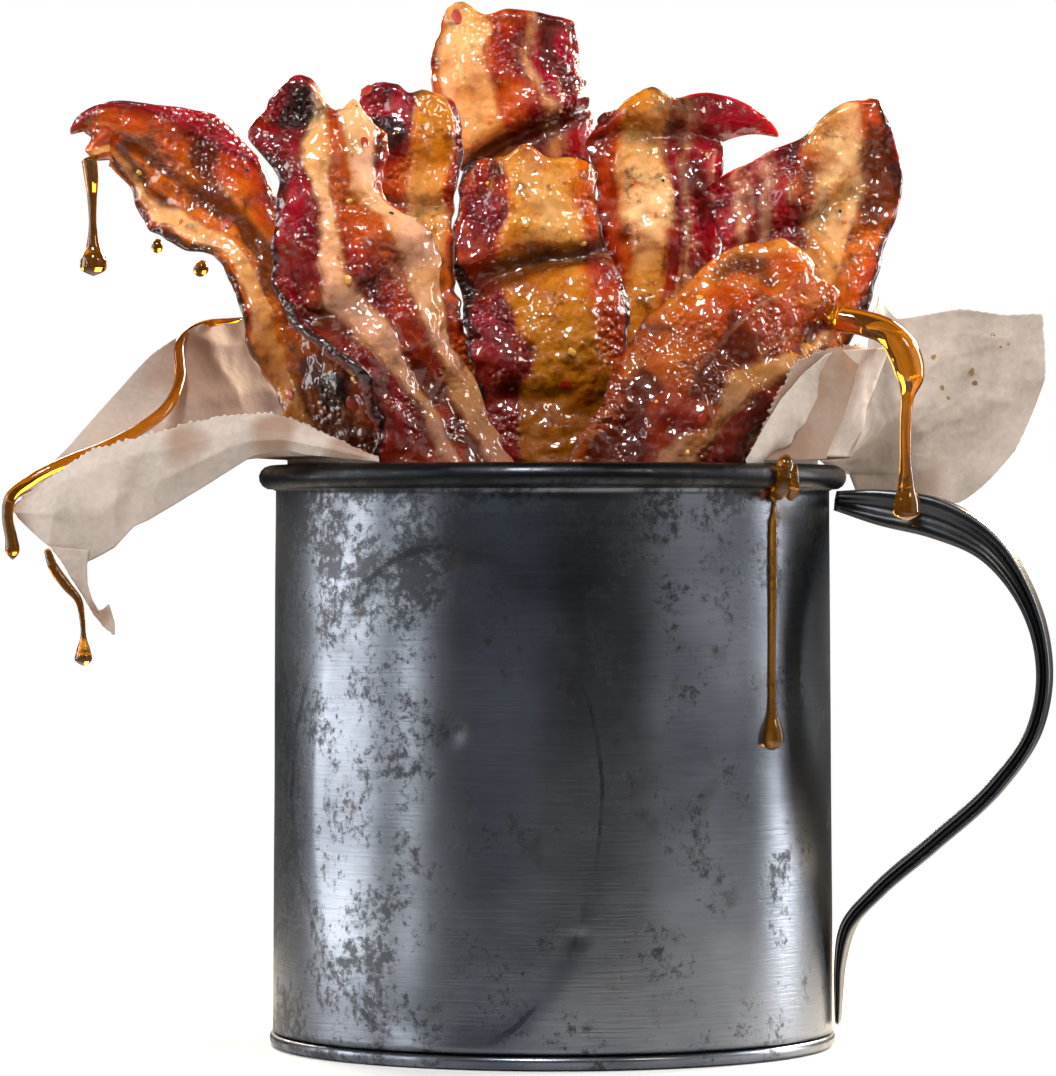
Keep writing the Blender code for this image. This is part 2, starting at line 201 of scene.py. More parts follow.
wall_line = [(WALL_FOOT - WALL_THICK, 2.6), (WALL_FOOT, 2.6)]
wall_line.append((WALL_TOP, RIM_Z - 2 * BEAD_R + 0.1))
for k in range(15):
    a = math.radians(-112 + k * 20)
    wall_line.append((BEAD_MID + BEAD_R * math.cos(a), RIM_Z - BEAD_R + BEAD_R * math.sin(a)))
wall_line.append((WALL_TOP - WALL_THICK, RIM_Z - 2 * BEAD_R - 0.8))
wall_line.append((WALL_FOOT - WALL_THICK, 2.6))
mug_wall = skin("mug_wall_worn", ring_of(wall_line, WALL_AROUND, WALL_UP, wall_press), weld=True)


def worn_steel(name, oval):
    """Worn tinned steel: brushed round the mug, with dark patina where the
    tin has gone, brown stain at the edges and fine scratches."""
    mat, tree, shader = blank(name)
    at = add(tree, "TexCoord").outputs["Object"]
    # brushing runs round the mug: about 0.15 mm tall and 8 mm long
    thin = add(tree, "Mapping", {"Vector": at, "Scale": (120, 120, 3200)})
    brush = add(tree, "TexNoise", {"Vector": thin, "Scale": 1.0, "Detail": 4.0})
    # patina comes in clouds about 25 mm wide, eaten into specks of 0.5 mm
    cloud = add(tree, "TexNoise", {"Vector": at, "Scale": 95.0, "Detail": 5.0, "Distortion": 0.4})
    speck = add(tree, "TexNoise", {"Vector": at, "Scale": 700.0, "Detail": 6.0, "Roughness": 0.75})
    blot = add(tree, "TexNoise", {"Vector": at, "Scale": 170.0, "Detail": 4.0})
    # how bright the tin is still varies slowly over the wall
    tide = add(tree, "TexNoise", {"Vector": at, "Scale": 34.0, "Detail": 3.0})
    broad = add(tree, "MapRange", {"Value": tide, "From Min": 0.36, "From Max": 0.64,
        "To Min": -0.1, "To Max": 0.6})
    part = add(tree, "SeparateXYZ", {"Vector": at})
    # the top of the wall and its left side have lost the most tin
    high = add(tree, "MapRange", {"Value": part.outputs["Z"], "From Min": 0.056, "From Max": 0.094,
        "To Max": 0.15}, interpolation_type="SMOOTHSTEP")
    mid = add(tree, "MapRange", {"Value": part.outputs["X"], "From Min": -0.005, "From Max": -0.040,
        "To Max": 0.12}, interpolation_type="SMOOTHSTEP")
    foot = add(tree, "MapRange", {"Value": part.outputs["Z"], "From Min": 0.020, "From Max": 0.002,
        "To Max": 0.04}, interpolation_type="SMOOTHSTEP")
    lose = add(tree, "Math", {0: high, 1: foot}, operation="ADD")
    lose = add(tree, "Math", {0: lose, 1: mid}, operation="ADD")
    mass = add(tree, "Math", {0: cloud, 1: lose}, operation="ADD")
    grain = add(tree, "Math", {0: speck, 1: 1.25, 2: mass}, operation="MULTIPLY_ADD")
    grain = add(tree, "Math", {0: blot, 1: 0.30, 2: grain}, operation="MULTIPLY_ADD")
    dark = add(tree, "MapRange", {"Value": grain, "From Min": 1.36, "From Max": 1.58,
        "To Max": 0.8}, interpolation_type="SMOOTHSTEP")
    tinned = add(tree, "Math", {0: brush, 1: 0.5, 2: broad}, operation="MULTIPLY_ADD")
    bare = add(tree, "Mix", {0: tinned, 6: linear(STEEL["steel"]), 7: linear(STEEL["bright"])},
        data_type="RGBA")
    worn = add(tree, "Mix", {0: dark, 6: bare, 7: linear(STEEL["patina"])}, data_type="RGBA")
    stain = add(tree, "MapRange", {"Value": blot, "From Min": 0.60, "From Max": 0.78,
        "To Max": 0.55})
    colour = add(tree, "Mix", {0: stain, 6: worn, 7: linear(STEEL["brown"])}, data_type="RGBA")
    if oval:
        # the pressed oval on the front: 50 mm wide and 80 mm tall
        turned = add(tree, "Mapping", {"Vector": at, "Location": (0.0175, 0, -0.0425),
            "Scale": (1, 0, 1)})
        squash = add(tree, "Mapping", {"Vector": turned, "Scale": (40, 1, 25)})
        far = add(tree, "VectorMath", {0: squash}, operation="LENGTH")
        wobble = add(tree, "Math", {0: blot, 1: 0.05, 2: far}, operation="MULTIPLY_ADD")
        edge = add(tree, "Math", {0: wobble, 1: 1.025, 2: 0.012}, operation="COMPARE")
        front = add(tree, "Math", {0: part.outputs["Y"], 1: 0.0}, operation="LESS_THAN")
        rub = add(tree, "MapRange", {"Value": cloud, "From Min": 0.42, "From Max": 0.6,
            "To Max": 0.6})
        line = add(tree, "Math", {0: edge, 1: front}, operation="MULTIPLY")
        line = add(tree, "Math", {0: line, 1: rub}, operation="MULTIPLY")
        colour = add(tree, "Mix", {0: line, 6: colour, 7: linear(STEEL["patina"])},
            data_type="RGBA")
    # the rolled rim is dark all round
    bead = add(tree, "MapRange", {"Value": part.outputs["Z"], "From Min": 0.0914,
        "From Max": 0.0924, "To Max": 0.86})
    colour = add(tree, "Mix", {0: bead, 6: colour, 7: linear("#232325")}, data_type="RGBA")
    wear(tree, shader, Base_Color=colour)
    rough = add(tree, "MapRange", {"Value": dark, "To Min": 0.29, "To Max": 0.48})
    wear(tree, shader, Roughness=rough)
    shader.inputs["Metallic"].default_value = 1.0
    lift = add(tree, "Math", {0: dark, 1: -0.6, 2: brush}, operation="MULTIPLY_ADD")
    bump = add(tree, "Bump", {"Height": lift, "Strength": 0.11, "Distance": 0.0002})
    wear(tree, shader, Normal=bump)
    return mat


wall_steel = worn_steel("worn_tinned_steel", True)
join_in(mug_wall, wall_steel, "tinned_steel", "mug_wall")

# ---------------------------------------------------------------- mug base
# A pressed steel disc; its rim is folded up round the foot of the wall as a
# low band, and its corner is rounded. The wall stands in it.
BASE_R = 46.95
BASE_CORNER = 1.3
base_line = [(0.0, 0.0), (30.0, 0.0), (BASE_R - BASE_CORNER, 0.0)]
for k in range(1, 7):
    a = math.radians(-90 + 15 * k)
    base_line.append((BASE_R - BASE_CORNER + BASE_CORNER * math.cos(a),
        BASE_CORNER + BASE_CORNER * math.sin(a)))
base_line += [(BASE_R, 1.9), (BASE_R - 0.35, 2.3), (44.9, 2.3), (44.9, 1.1), (0.0, 1.1)]
mug_base = skin("mug_base_worn", ring_of(base_line, 200, 150), weld=True)
join_in(mug_base, worn_steel("worn_tinned_steel_foot", False), "tinned_steel", "mug_base")

# ---------------------------------------------------------------- handle
# A strap bent from darker steel sheet. Both its edges are rolled, which
# leaves its sides hollow; its head is fixed under the bead and its pointed
# tail lies on the wall near the foot.
STRAP_HALF = 7.0
STRAP_ROUND = -8.0
STRAP_LINE = [  # x, z of the middle line, and depth
    (46.9, 90.2, 3.0), (55.0, 89.0, 6.0), (64.4, 87.0, 6.6), (72.4, 82.6, 5.0), (77.4, 76.2, 3.4),
    (80.7, 68.0, 2.5), (81.4, 60.0, 2.3), (79.8, 52.6, 2.4), (73.6, 43.4, 2.8), (63.4, 34.0, 2.8),
    (54.2, 26.0, 2.6), (49.4, 20.4, 2.2), (47.9, 14.0, 1.4), (47.6, 8.0, 1.0), (47.5, 3.6, 0.7)]
STRAP_SECTION = [
    (-1.0, 0.42), (-0.93, 0.50), (-0.80, 0.46), (-0.6, 0.40), (0.6, 0.40), (0.80, 0.46),
    (0.93, 0.50), (1.0, 0.42), (1.0, 0.26), (0.9, 0.10), (0.87, 0.0), (0.9, -0.10),
    (1.0, -0.26), (1.0, -0.42), (0.93, -0.50), (0.80, -0.46), (0.6, -0.40), (-0.6, -0.40),
    (-0.80, -0.46), (-0.93, -0.50), (-1.0, -0.42), (-1.0, -0.26), (-0.9, -0.10),
    (-0.87, 0.0), (-0.9, 0.10), (-1.0, 0.26), (-1.0, 0.42),
]  # fmt: skip


def spline(table, t):
    """Points at fractions t along a smooth curve through a table's rows."""
    p = np.array(table, float)
    step = np.linalg.norm(np.diff(p[:, : min(3, p.shape[1])], axis=0), axis=1)
    s = np.concatenate([[0.0], np.cumsum(step)])
    s = s / s[-1]
    d = np.diff(p, axis=0) / np.diff(s)[:, None]
    slope = np.vstack([d[:1], d[-1:]])
    if len(p) > 2:
        w = (np.diff(s)[1:] / (s[2:] - s[:-2]))[:, None]
        slope = np.vstack([d[:1], d[:-1] * w + d[1:] * (1 - w), d[-1:]])
    t = np.atleast_1d(np.asarray(t, float))
    i = np.clip(np.searchsorted(s, t) - 1, 0, len(p) - 2)
    h = (s[i + 1] - s[i])[:, None]
    x = ((t - s[i]) / h[:, 0])[:, None]
    a = (1 + 2 * x) * (1 - x) ** 2
    b = x * (1 - x) ** 2
    c = x * x * (3 - 2 * x)
    e = x * x * (x - 1)
    return a * p[i] + b * h * slope[i] + c * p[i + 1] + e * h * slope[i + 1]


t = np.linspace(0, 1, 170)
line = spline(STRAP_LINE, t)
ahead = np.gradient(line[:, :2], axis=0)
ahead /= np.linalg.norm(ahead, axis=1, keepdims=True)
section = along(STRAP_SECTION, np.linspace(0, 1, 97))
shut = np.minimum(ramp(0, 0.006, t), ramp(1.0, 0.994, t))[:, None]
half = (STRAP_HALF * (1 - 0.62 * ramp(0.84, 1.0, t)))[:, None] * np.maximum(shut, 1e-6)
across = section[:, 0][None] * half
depth = section[:, 1][None] * line[:, 2][:, None] * shut
px = line[:, 0][:, None] - ahead[:, 1][:, None] * depth
pz = line[:, 1][:, None] + ahead[:, 0][:, None] * depth
px = np.maximum(px, np.sqrt(WALL_FOOT**2 - across**2) + 0.25)
turn = math.radians(STRAP_ROUND)
strap = np.stack([px * math.cos(turn) - across * math.sin(turn),
    px * math.sin(turn) + across * math.cos(turn), pz], axis=-1)
handle = skin("handle_strap", strap, weld=True)


def dark_steel():
    """Oxidised steel: nearly black and fairly smooth, rubbed bright at its edges."""
    mat, tree, shader = blank("oxidised_strap_steel")
    at = add(tree, "TexCoord").outputs["Object"]
    cloud = add(tree, "TexNoise", {"Vector": at, "Scale": 160.0, "Detail": 5.0})
    fine = add(tree, "TexNoise", {"Vector": at, "Scale": 1100.0, "Detail": 3.0})
    edge = add(tree, "NewGeometry").outputs["Pointiness"]
    rub = add(tree, "MapRange", {"Value": edge, "From Min": 0.52, "From Max": 0.60})
    colour = add(tree, "Mix", {0: cloud, 6: linear("#2A2B2E"), 7: linear("#4C4E52")},
        data_type="RGBA")
    colour = add(tree, "Mix", {0: rub, 6: colour, 7: linear("#8B8E93")}, data_type="RGBA")
    wear(tree, shader, Base_Color=colour)
    rough = add(tree, "MapRange", {"Value": fine, "To Min": 0.26, "To Max": 0.42})
    wear(tree, shader, Roughness=rough)
    shader.inputs["Metallic"].default_value = 1.0
    bump = add(tree, "Bump", {"Height": fine, "Strength": 0.1, "Distance": 0.0002})
    wear(tree, shader, Normal=bump)
    return mat


join_in(handle, dark_steel(), "tinned_steel", "mug_handle")

# ---------------------------------------------------------------- bacon
# Eight rashers of streaky bacon, cooked until they curled, brushed with a
# sugar glaze. Lean and fat run along each strip in bands; the fat is puffed
# and wrinkled, the edges are crimped and charred. They stand in the mug.
STRIP_THICK = 2.7
STRIP_ROWS = 330
STRIP_AROUND = 104
# route: x, y, z, width, turn about its length, cup of its section
# fat: place across at the rim, half way and at the top, half width, how
#      clean, how golden
# lean: places across and how warm, 0 burgundy, 0.5 red-brown, 1 amber
# tone: warmth added at the rim and at the top
# char: left edge, right edge, top end, spots
# roll: degrees that the left and right edges roll forward, between two heights
# swell: height, place across, radius, how far it stands out
# crease: height, half height, depth, slope across
# pull: height, place across, radius, and how far it is drawn in x, y and z
# pits: height, place across and radius of a hollow painted dark as shade
# blunt: how much of its width the end keeps
# pale: height, place across, radius and strength of the palest fat, partly its own paler colour and
# partly a painted glow of light shining through it from behind
STRIPS = {
    "strip_far_left": dict(
        route=[(-30.0, -11.0, 16.0, 21, -48, 10), (-30.5, -12.0, 60.0, 21, -46, 10),
            (-30.4, -14.5, 94.0, 20.5, -44, 20), (-34.6, -15.0, 105.0, 20.5, -36, 20),
            (-39.6, -14.0, 115.0, 19.5, -12, 16), (-44.6, -12.0, 124.5, 16, 24, 14),
            (-49.2, -10.5, 132.4, 14.5, 30, 14), (-55.5, -9.5, 138.4, 18.5, 10, 20),
            (-61.8, -9.0, 143.2, 18, -6, 30), (-67.6, -9.5, 147.2, 12, -16, 30),
            (-73.0, -10.5, 149.4, 8.5, -16, 20), (-77.2, -11.5, 147.0, 6.5, -10, 10)],
        ripple=(1.2, 4.0, 0.6),
        skew=0.0,
        cap=4.0,
        fat=[(-0.8, -0.75, -0.6, 0.24, 1.0, 0.42), (0.3, 0.2, 0.1, 0.05, 0.6, 0.7)],
        lean=[(-1, 0.85), (-0.3, 0.85), (0.35, 0.78), (0.62, 0.5), (0.74, 0.0), (1, -0.05)],
        tone=(0.2, 0.0),
        char=(0.6, 0.6, 0.4, 0.4),
        roll=(38, -20, 100, 146),
        swell=[(109, 0.2, 5, 1.6), (117, -0.3, 5, -1.6), (137, 0.3, 5, 1.8), (143, -0.4, 4, -1.5)],
        crease=[],
        pull=[(147.5, 0.9, 5, 0.0, 0.0, 2.5), (141, 1.0, 4, 1.5, 0.0, 2.0)],
        shaded_pit=[(108, 0.1, 4)],
        pale=(138, -0.7, 13, 0.6),
        blunt=0.6),
    "strip_left_front": dict(
        route=[(-14.0, -30.0, 16.0, 21, 6, 10), (-16.0, -29.0, 60.0, 22, 5, 10),
            (-17.0, -28.0, 95.0, 22.5, 12, 20), (-22.0, -27.5, 107.0, 21, 36, 16),
            (-26.5, -29.0, 117.0, 24, 24, 20), (-31.0, -30.0, 125.5, 28.5, 4, 34),
            (-34.2, -28.5, 132.5, 24, 14, 20), (-35.8, -27.0, 138.5, 18, 24, 14),
            (-36.2, -27.0, 146.5, 20.5, 6, 40), (-36.2, -25.0, 153.0, 18, 0, 70),
            (-35.6, -21.5, 157.4, 14, 0, 80)],
        ripple=(1.2, 4.4, 2.2),
        skew=0.0,
        cap=4.0,
        fat=[(0.15, -0.3, 0.0, 0.15, 1.0, 0.1), (0.85, 0.74, 0.5, 0.24, 0.9, 0.12)],
        lean=[(-1, 0.12), (-0.5, 0.15), (0.1, 0.45), (1, 0.6)],
        tone=(0.0, 0.0),
        char=(0.7, 0.2, 0.35, 0.2),
        roll=(120, 0, 103, 130),
        swell=[(130, 0.6, 6.5, 2.4), (137, 0.3, 4, -1.6), (152, -0.45, 4.5, -4.0),
            (116, 0.4, 6, 1.2)],
        crease=[(124, 2.0, 1.2, 0.5)],
        pull=[(156, -0.55, 5, -1.0, 0.0, 3.0), (157, 0.1, 2.6, 0.0, 0.0, -4.0),
            (148, -1.0, 4, -2.6, 0.0, 1.0), (143, -0.9, 3, 2.2, 0.0, 0.0)],
        shaded_pit=[(152.5, -0.42, 4.6)],
        pale=(146, 0.4, 12, 0.5),
        blunt=0.7),
    "strip_left_back": dict(
        route=[(-14.5, -4.0, 16.0, 23, 10, 10), (-15.5, -4.0, 60.0, 23, 8, 10),
            (-20.0, -3.5, 95.0, 24, 4, 14), (-27.0, -4.0, 118.0, 24, 0, 20),
            (-27.8, -3.5, 136.0, 23, -6, 30), (-25.4, -2.5, 149.0, 19, 8, 34),
            (-24.0, -2.0, 157.4, 14, 8, 34)],
        ripple=(1.2, 4.2, 1.0),
        skew=0.0,
        cap=3.4,
        fat=[(0.55, 0.6, 0.45, 0.26, 0.9, 0.95)],
        lean=[(-1, 0.4), (0, 0.7), (1, 0.9)],
        tone=(0.3, -0.6),
        char=(0.5, 0.5, 0.5, 0.3),
        roll=(0, 30, 100, 150),
        swell=[(150, 0.0, 4, 1.5), (143, 0.2, 4, -1.5)],
        crease=[(139, 1.6, 1.4, 0.8)],
        pull=[(152, 0.9, 5, 2.0, 0.0, 1.0), (146, -0.9, 5, -2.0, 0.0, 0.0)],
        shaded_pit=[(150, -0.3, 3.4)],
        pale=(136, 0.6, 9, 0.6),
        blunt=0.75),
    "strip_centre_front": dict(
        route=[(0.0, -19.0, 16.0, 24, 0, 8), (0.0, -18.5, 60.0, 25, 0, 8),
            (0.6, -17.5, 96.0, 26, 0, 14), (0.2, -16.5, 108.0, 27, 4, 20),
            (-1.0, -17.5, 121.0, 26.5, 0, 24), (-2.8, -15.0, 129.0, 25.5, 0, 18),
            (-4.0, -15.5, 138.0, 24, 0, 26), (-4.4, -13.5, 147.6, 20, 0, 24)],
        ripple=(1.0, 3.6, 3.0),
        skew=-1.2,
        cap=3.0,
        fat=[(0.25, 0.15, 0.1, 0.48, 0.95, 0.98)],
        lean=[(-1, 0.15), (-0.5, 0.3), (0.5, 0.85), (1, 0.6)],
        tone=(-0.1, 0.15),
        char=(0.9, 1.0, 0.25, 0.25),
        roll=(25, -30, 100, 150),
        swell=[(138, 0.0, 7, 1.8), (117, 0.25, 8, 1.6), (112, -0.6, 5, 1.4), (121, -0.3, 4, -1.3)],
        crease=[(129, 1.8, 2.4, 0.6), (106, 2.5, 1.0, -0.5)],
        pull=[(146, 0.9, 4, 1.4, 0.0, 0.0)],
        shaded_pit=[],
        pale=(138, 0.15, 7, 0.45),
        blunt=0.75),
    "strip_centre_back": dict(
        route=[(0.0, 12.0, 16.0, 24, 0, 8), (0.0, 12.0, 60.0, 24, 0, 8),
            (-1.0, 12.0, 96.0, 24, 0, 10), (-3.0, 12.0, 128.0, 22, 10, 14),
            (-4.2, 12.5, 145.0, 23, 4, 16), (-6.0, 9.6, 153.0, 26.8, 0, 20),
            (-7.4, 9.0, 162.0, 24.6, 0, 26), (-7.2, 10.5, 172.2, 21.5, 0, 24)],
        ripple=(1.0, 4.0, 0.2),
        skew=-0.6,
        cap=3.2,
        fat=[(-0.6, -0.6, -0.55, 0.33, 0.95, 0.42), (0.3, 0.35, 0.35, 0.06, 0.7, 0.3)],
        lean=[(-1, 0.7), (0, 0.55), (0.4, 0.3), (0.6, -0.1), (1, -0.2)],
        tone=(-0.1, 0.0),
        char=(0.3, 0.45, 0.4, 0.15),
        roll=(20, -25, 140, 172),
        swell=[(162, -0.4, 6, 1.4), (166, 0.3, 4, -1.2), (157, 0.3, 5, 1.2)],
        crease=[(151, 1.6, 2.6, 1.2)],
        pull=[(152, -1.0, 5, -1.6, 0.0, 0.0), (144, -1.0, 6, 3.0, 0.0, 0.0)],
        shaded_pit=[],
        pale=(163, -0.6, 9, 0.6),
        blunt=0.85),
    "strip_right_back": dict(
        route=[(13.5, 1.0, 16.0, 22, 0, 8), (14.0, 1.0, 60.0, 22, 0, 8),
            (14.5, 1.5, 96.0, 22, 4, 10), (15.6, 2.5, 118.0, 20.5, 8, 14),
            (17.4, 3.5, 131.0, 20.5, 4, 22), (17.8, 3.2, 142.0, 21.4, 0, 20),
            (17.4, 3.0, 150.0, 23.0, 2, 24), (17.8, 3.4, 157.4, 21.5, 4, 32)],
        ripple=(1.0, 4.0, 4.0),
        skew=0.4,
        cap=3.6,
        fat=[(-0.1, -0.1, -0.2, 0.4, 0.9, 0.88), (0.5, 0.5, 0.5, 0.05, 0.6, 0.2)],
        lean=[(-1, 0.6), (0, 0.75), (0.35, 0.3), (0.6, -0.05), (1, -0.1)],
        tone=(0.0, -0.12),
        char=(0.5, 0.35, 0.55, 0.3),
        roll=(0, 25, 110, 150),
        swell=[(135, 0.1, 7, 1.4), (154, -0.2, 4, 1.4), (143, 0.6, 4, 1.2), (140, -0.5, 5, -1.0)],
        crease=[(151, 1.6, 1.4, 0.2)],
        pull=[(154.5, 1.0, 3.0, 9.0, -1.0, -0.6), (154.5, 1.1, 1.5, 1.4, 0.0, -4.6),
            (149.5, 1.05, 2.4, -1.2, 0.0, 0.0), (157, -0.2, 3.0, 0.0, 0.0, 1.6),
            (156, -1.0, 3.0, 0.0, 0.0, -2.5)],
        shaded_pit=[],
        pale=(139, -0.15, 11, 1.0),
        blunt=0.7),
    "strip_far_right": dict(
        route=[(33.0, 3.0, 16.0, 21, 62, 8), (33.0, 3.0, 60.0, 21, 62, 8),
            (32.5, 2.5, 96.0, 22, 45, 10), (35.0, 0.5, 111.0, 23, 16, 14),
            (38.8, -0.5, 121.0, 25, 4, 18), (41.6, -0.5, 131.0, 28, 0, 22),
            (43.0, 0.5, 141.0, 28.5, 0, 24), (42.8, 1.0, 150.6, 24, -4, 24)],
        ripple=(1.0, 4.2, 5.2),
        skew=6.6,
        cap=4.0,
        fat=[(-0.7, -0.72, -0.78, 0.045, 0.8, 0.1), (-0.4, -0.48, -0.5, 0.045, 0.8, 0.1),
            (0.25, 0.28, 0.3, 0.26, 0.95, 0.5)],
        lean=[(-1, -0.2), (-0.3, -0.15), (-0.02, 0.5), (0.6, 0.85), (1, 0.8)],
        tone=(0.0, 0.0),
        char=(0.3, 0.6, 0.35, 0.25),
        roll=(20, 40, 112, 152),
        swell=[(143, -0.2, 6, 1.8), (134, 0.4, 6, -1.2), (126, 0.1, 5, 1.5)],
        crease=[(137, 2.0, 1.2, 1.5)],
        pull=[(147, -1.0, 6, -4.0, 0.0, 3.5), (149, 0.40, 6, 0.0, 0.0, 2.6),
            (152, 1.0, 4, 1.0, 0.0, -1.5), (138, 1.0, 4, 1.6, 0.0, 0.0)],
        shaded_pit=[],
        pale=(140, 0.3, 13, 1.0),
        blunt=0.8),
    "strip_right_front": dict(
        route=[(12.0, -29.5, 16.0, 22, 0, 8), (13.0, -29.5, 60.0, 23, 0, 8),
            (15.2, -28.2, 93.0, 26.5, 0, 14), (21.6, -27.0, 105.0, 26, 0, 20),
            (28.6, -25.0, 114.5, 26, -2, 24), (36.6, -21.5, 121.0, 24, -6, 28),
            (45.6, -17.0, 123.0, 14, -10, 30)],
        ripple=(1.0, 3.4, 1.6),
        skew=0.0,
        cap=5.0,
        fat=[(0.12, 0.45, 0.85, 0.15, 1.0, 0.35), (-0.9, -0.9, -0.8, 0.1, 0.6, 0.85)],
        lean=[(-1, 0.75), (-0.6, 0.6), (-0.2, 0.55), (0.25, 0.5), (0.6, 0.1), (1, 0.0)],
        tone=(-0.04, 0.25),
        char=(0.4, 0.3, 0.2, 0.12),
        roll=(0, -20, 98, 122),
        swell=[(108, 0.0, 8, 1.2), (118, -0.2, 6, 1.2)],
        crease=[(113, 1.4, 0.8, 1.2)],
        pull=[(121, -0.6, 5, -1.0, 0.0, 1.5)],
        shaded_pit=[],
        pale=(110, 0.3, 14, 0.4),
        blunt=0.62)}


def rasher(name, look, seed):
    """One strip: its points, and how fat, warm and charred each is; the char also holds the painted
    shade of its pits.
    """
    route = np.array(look["route"], float)
    length = np.linalg.norm(np.diff(route[:, :3], axis=0), axis=1).sum()
    u = np.linspace(0, 1, STRIP_ROWS) ** 0.8
    here = spline(route, u)
    t = np.gradient(here[:, :3], axis=0)
    t /= np.linalg.norm(t, axis=1, keepdims=True)
    toward = np.array((0.0, -1.0, 0.0))
    n = toward - t * (t @ toward)[:, None]
    n /= np.linalg.norm(n, axis=1, keepdims=True)
    w = np.cross(t, n)
    turn = np.radians(here[:, 4])[:, None]
    side = w * np.cos(turn) - n * np.sin(turn)
    out = n * np.cos(turn) + w * np.sin(turn)
    a = np.linspace(0, 2 * math.pi, STRIP_AROUND + 1)
    v = np.cos(a)[None] + 0 * u[:, None]
    front = np.sin(a)[None] + 0 * u[:, None]
    uu = u[:, None] + 0 * v
    high = here[:, 2][:, None] + 0 * v
    run = uu * length
    rim = float(np.interp(RIM_Z - 3.0, here[:, 2], u)) if here[-1, 2] > RIM_Z - 3 else 0.6
    seen = np.clip((uu - rim) / (1 - rim), 0, 1)
    show = ramp(rim - 0.12, rim, uu)
    left = length * (1 - uu)
    # the edges shrink unevenly: a slow wander and a tight crimp
    edge_side = np.sign(v) * 3
    crimp = 0.06 * rough_noise(run / 7, edge_side, 0, seed + 1)
    crimp = crimp + 0.045 * rough_noise(run / 2.1, edge_side, 0, seed + 2)
    end = np.clip(1 - np.minimum(left / look["cap"], 1.0), 0, 1)
    blunt = look["blunt"]
    shape = (1 - end**2.6) ** (1 / 2.6) * (1 - blunt) + blunt
    half = here[:, 3][:, None] / 2 * shape * (1 + crimp * show)
    # the section is a curve that bends back by the cup and rolls at its edges
    fine = np.linspace(-1, 1, 81)
    cup = np.radians(here[:, 5])[:, None]
    rl, rr, z0, z1 = look["roll"]
    roll = ramp(z0 - 4, z0 + 3, here[:, 2]) * ramp(z1 + 3, z1 - 4, here[:, 2])
    angle = -cup / 2 * fine - math.radians(rl) * roll[:, None] * ramp(-0.62, -0.95, fine)
    angle = angle + math.radians(rr) * roll[:, None] * ramp(0.62, 0.95, fine)
    step = (fine[1] - fine[0]) / 2
    flat = np.cumsum(np.cos(angle), axis=1) * 2 * step
    rise = np.cumsum(np.sin(angle), axis=1) * 2 * step
    flat -= flat[:, 40:41]
    rise -= rise[:, 40:41]
    flat = np.stack([np.interp(v[0], fine, row) for row in flat]) * half
    rise = np.stack([np.interp(v[0], fine, row) for row in rise]) * half
    ripple, waves, phase = look["ripple"]
    wave = np.sin(2 * math.pi * waves * uu + phase + 0.7 * v)
    wave = wave + 0.5 * np.sin(2 * math.pi * waves * 1.73 * uu + 2.1 * phase - 1.3 * v)
    lift = ripple * wave * (0.25 + 0.75 * v * v) * ramp(0.25, 0.5, uu)
    frill = rough_noise(run / 5.5, v * 1.2, 0, seed + 3) * 1.3 * np.abs(v) ** 3
    frill = frill + rough_noise(run / 2.4, v * 2, 0, seed + 4) * 0.55 * np.abs(v) ** 4
    lift = lift + frill * show + 0.7 * rough_noise(run / 8, v * 1.8, 0, seed + 5) * show
    for z, place, size, far in look["swell"]:
        off = np.hypot((high - z) / size, (v - place) * here[:, 3][:, None] / 2 / size)
        lift = lift + far * np.exp(-2 * off**2)
    hollow_shade = 0 * v
    for z, size, deep, slope in look["crease"]:
        off = (high - z - slope * v * 3 - 1.2 * rough_noise(v * 2, 0, z, seed + 6)) / size
        # painted shade in the crease
        hollow_shade = np.maximum(hollow_shade, deep / 2.2 * np.exp(-(((off + 0.3) / 1.5) ** 2)))
        lift = lift - deep * np.exp(-(off**2)) + 0.45 * deep * np.exp(-(((off - 2.2) / 1.4) ** 2))
    slide = look["skew"] * v * ramp(0.6, 1.0, uu)
    slide = slide + (2.0 * rough_noise(v * 2.4, 0, 3, seed + 6) - 0.3) * ramp(9, 0, left)
    mid = here[:, None, :3] + side[:, None] * flat[..., None]
    mid = mid + out[:, None] * (lift + rise)[..., None] + t[:, None] * slide[..., None]
    for z, place, size, *far in look["pull"]:
        off = np.hypot((high - z) / size, (v - place) * here[:, 3][:, None] / 2 / size)
        mid = mid + np.exp(-(off**2))[..., None] * np.array(far)
    # lean and fat
    warp = v + 0.16 * rough_noise(run / 10, 0.5, 0, seed + 7)
    warp = warp + 0.07 * rough_noise(run / 3.2, v * 3, 0, seed + 8)
    fat = 0 * v
    gold = 0 * v
    for low, middle, top, width, clean, golden in look["fat"]:
        centre = np.interp(seen, (0, 0.5, 1), (low, middle, top))
        wide = width * (1 + 0.5 * rough_noise(run / 9, low * 9, 0, seed + 9))
        edge = 0.09 + 0.10 * (1.3 - clean)
        band = ramp(wide + edge, wide - edge, np.abs(warp - centre)) * clean
        gold = np.where(band > fat, golden, gold)
        fat = np.maximum(fat, band)
    streak = rough_noise(run / 16, v * 8, 0, seed + 10)
    fat = np.maximum(fat, 0.4 * ramp(0.6, 0.9, streak))
    places = np.array(look["lean"], float)
    warm = np.interp(warp, places[:, 0], places[:, 1])
    warm = warm + np.interp(seen, (0, 1), look["tone"])
    warm = warm + 0.30 * rough_noise(run / 8, v * 2, 0, seed + 11)
    warm = np.clip(warm + 0.14 * rough_noise(run / 3, v * 6, 0, seed + 12), 0, 1)
    gold = np.clip(gold + 0.22 * rough_noise(run / 6, v * 2.5, 1, seed + 11), 0, 1)
    warm = warm * (1 - ramp(0.2, 0.6, fat)) + gold * ramp(0.2, 0.6, fat)
    el, er, top, spots = look["char"]
    uneven = 0.09 * rough_noise(run / 4, v, 0, seed + 13)
    edge = np.where(v < 0, el, er) * ramp(0.84, 1.0, np.abs(v) + uneven)
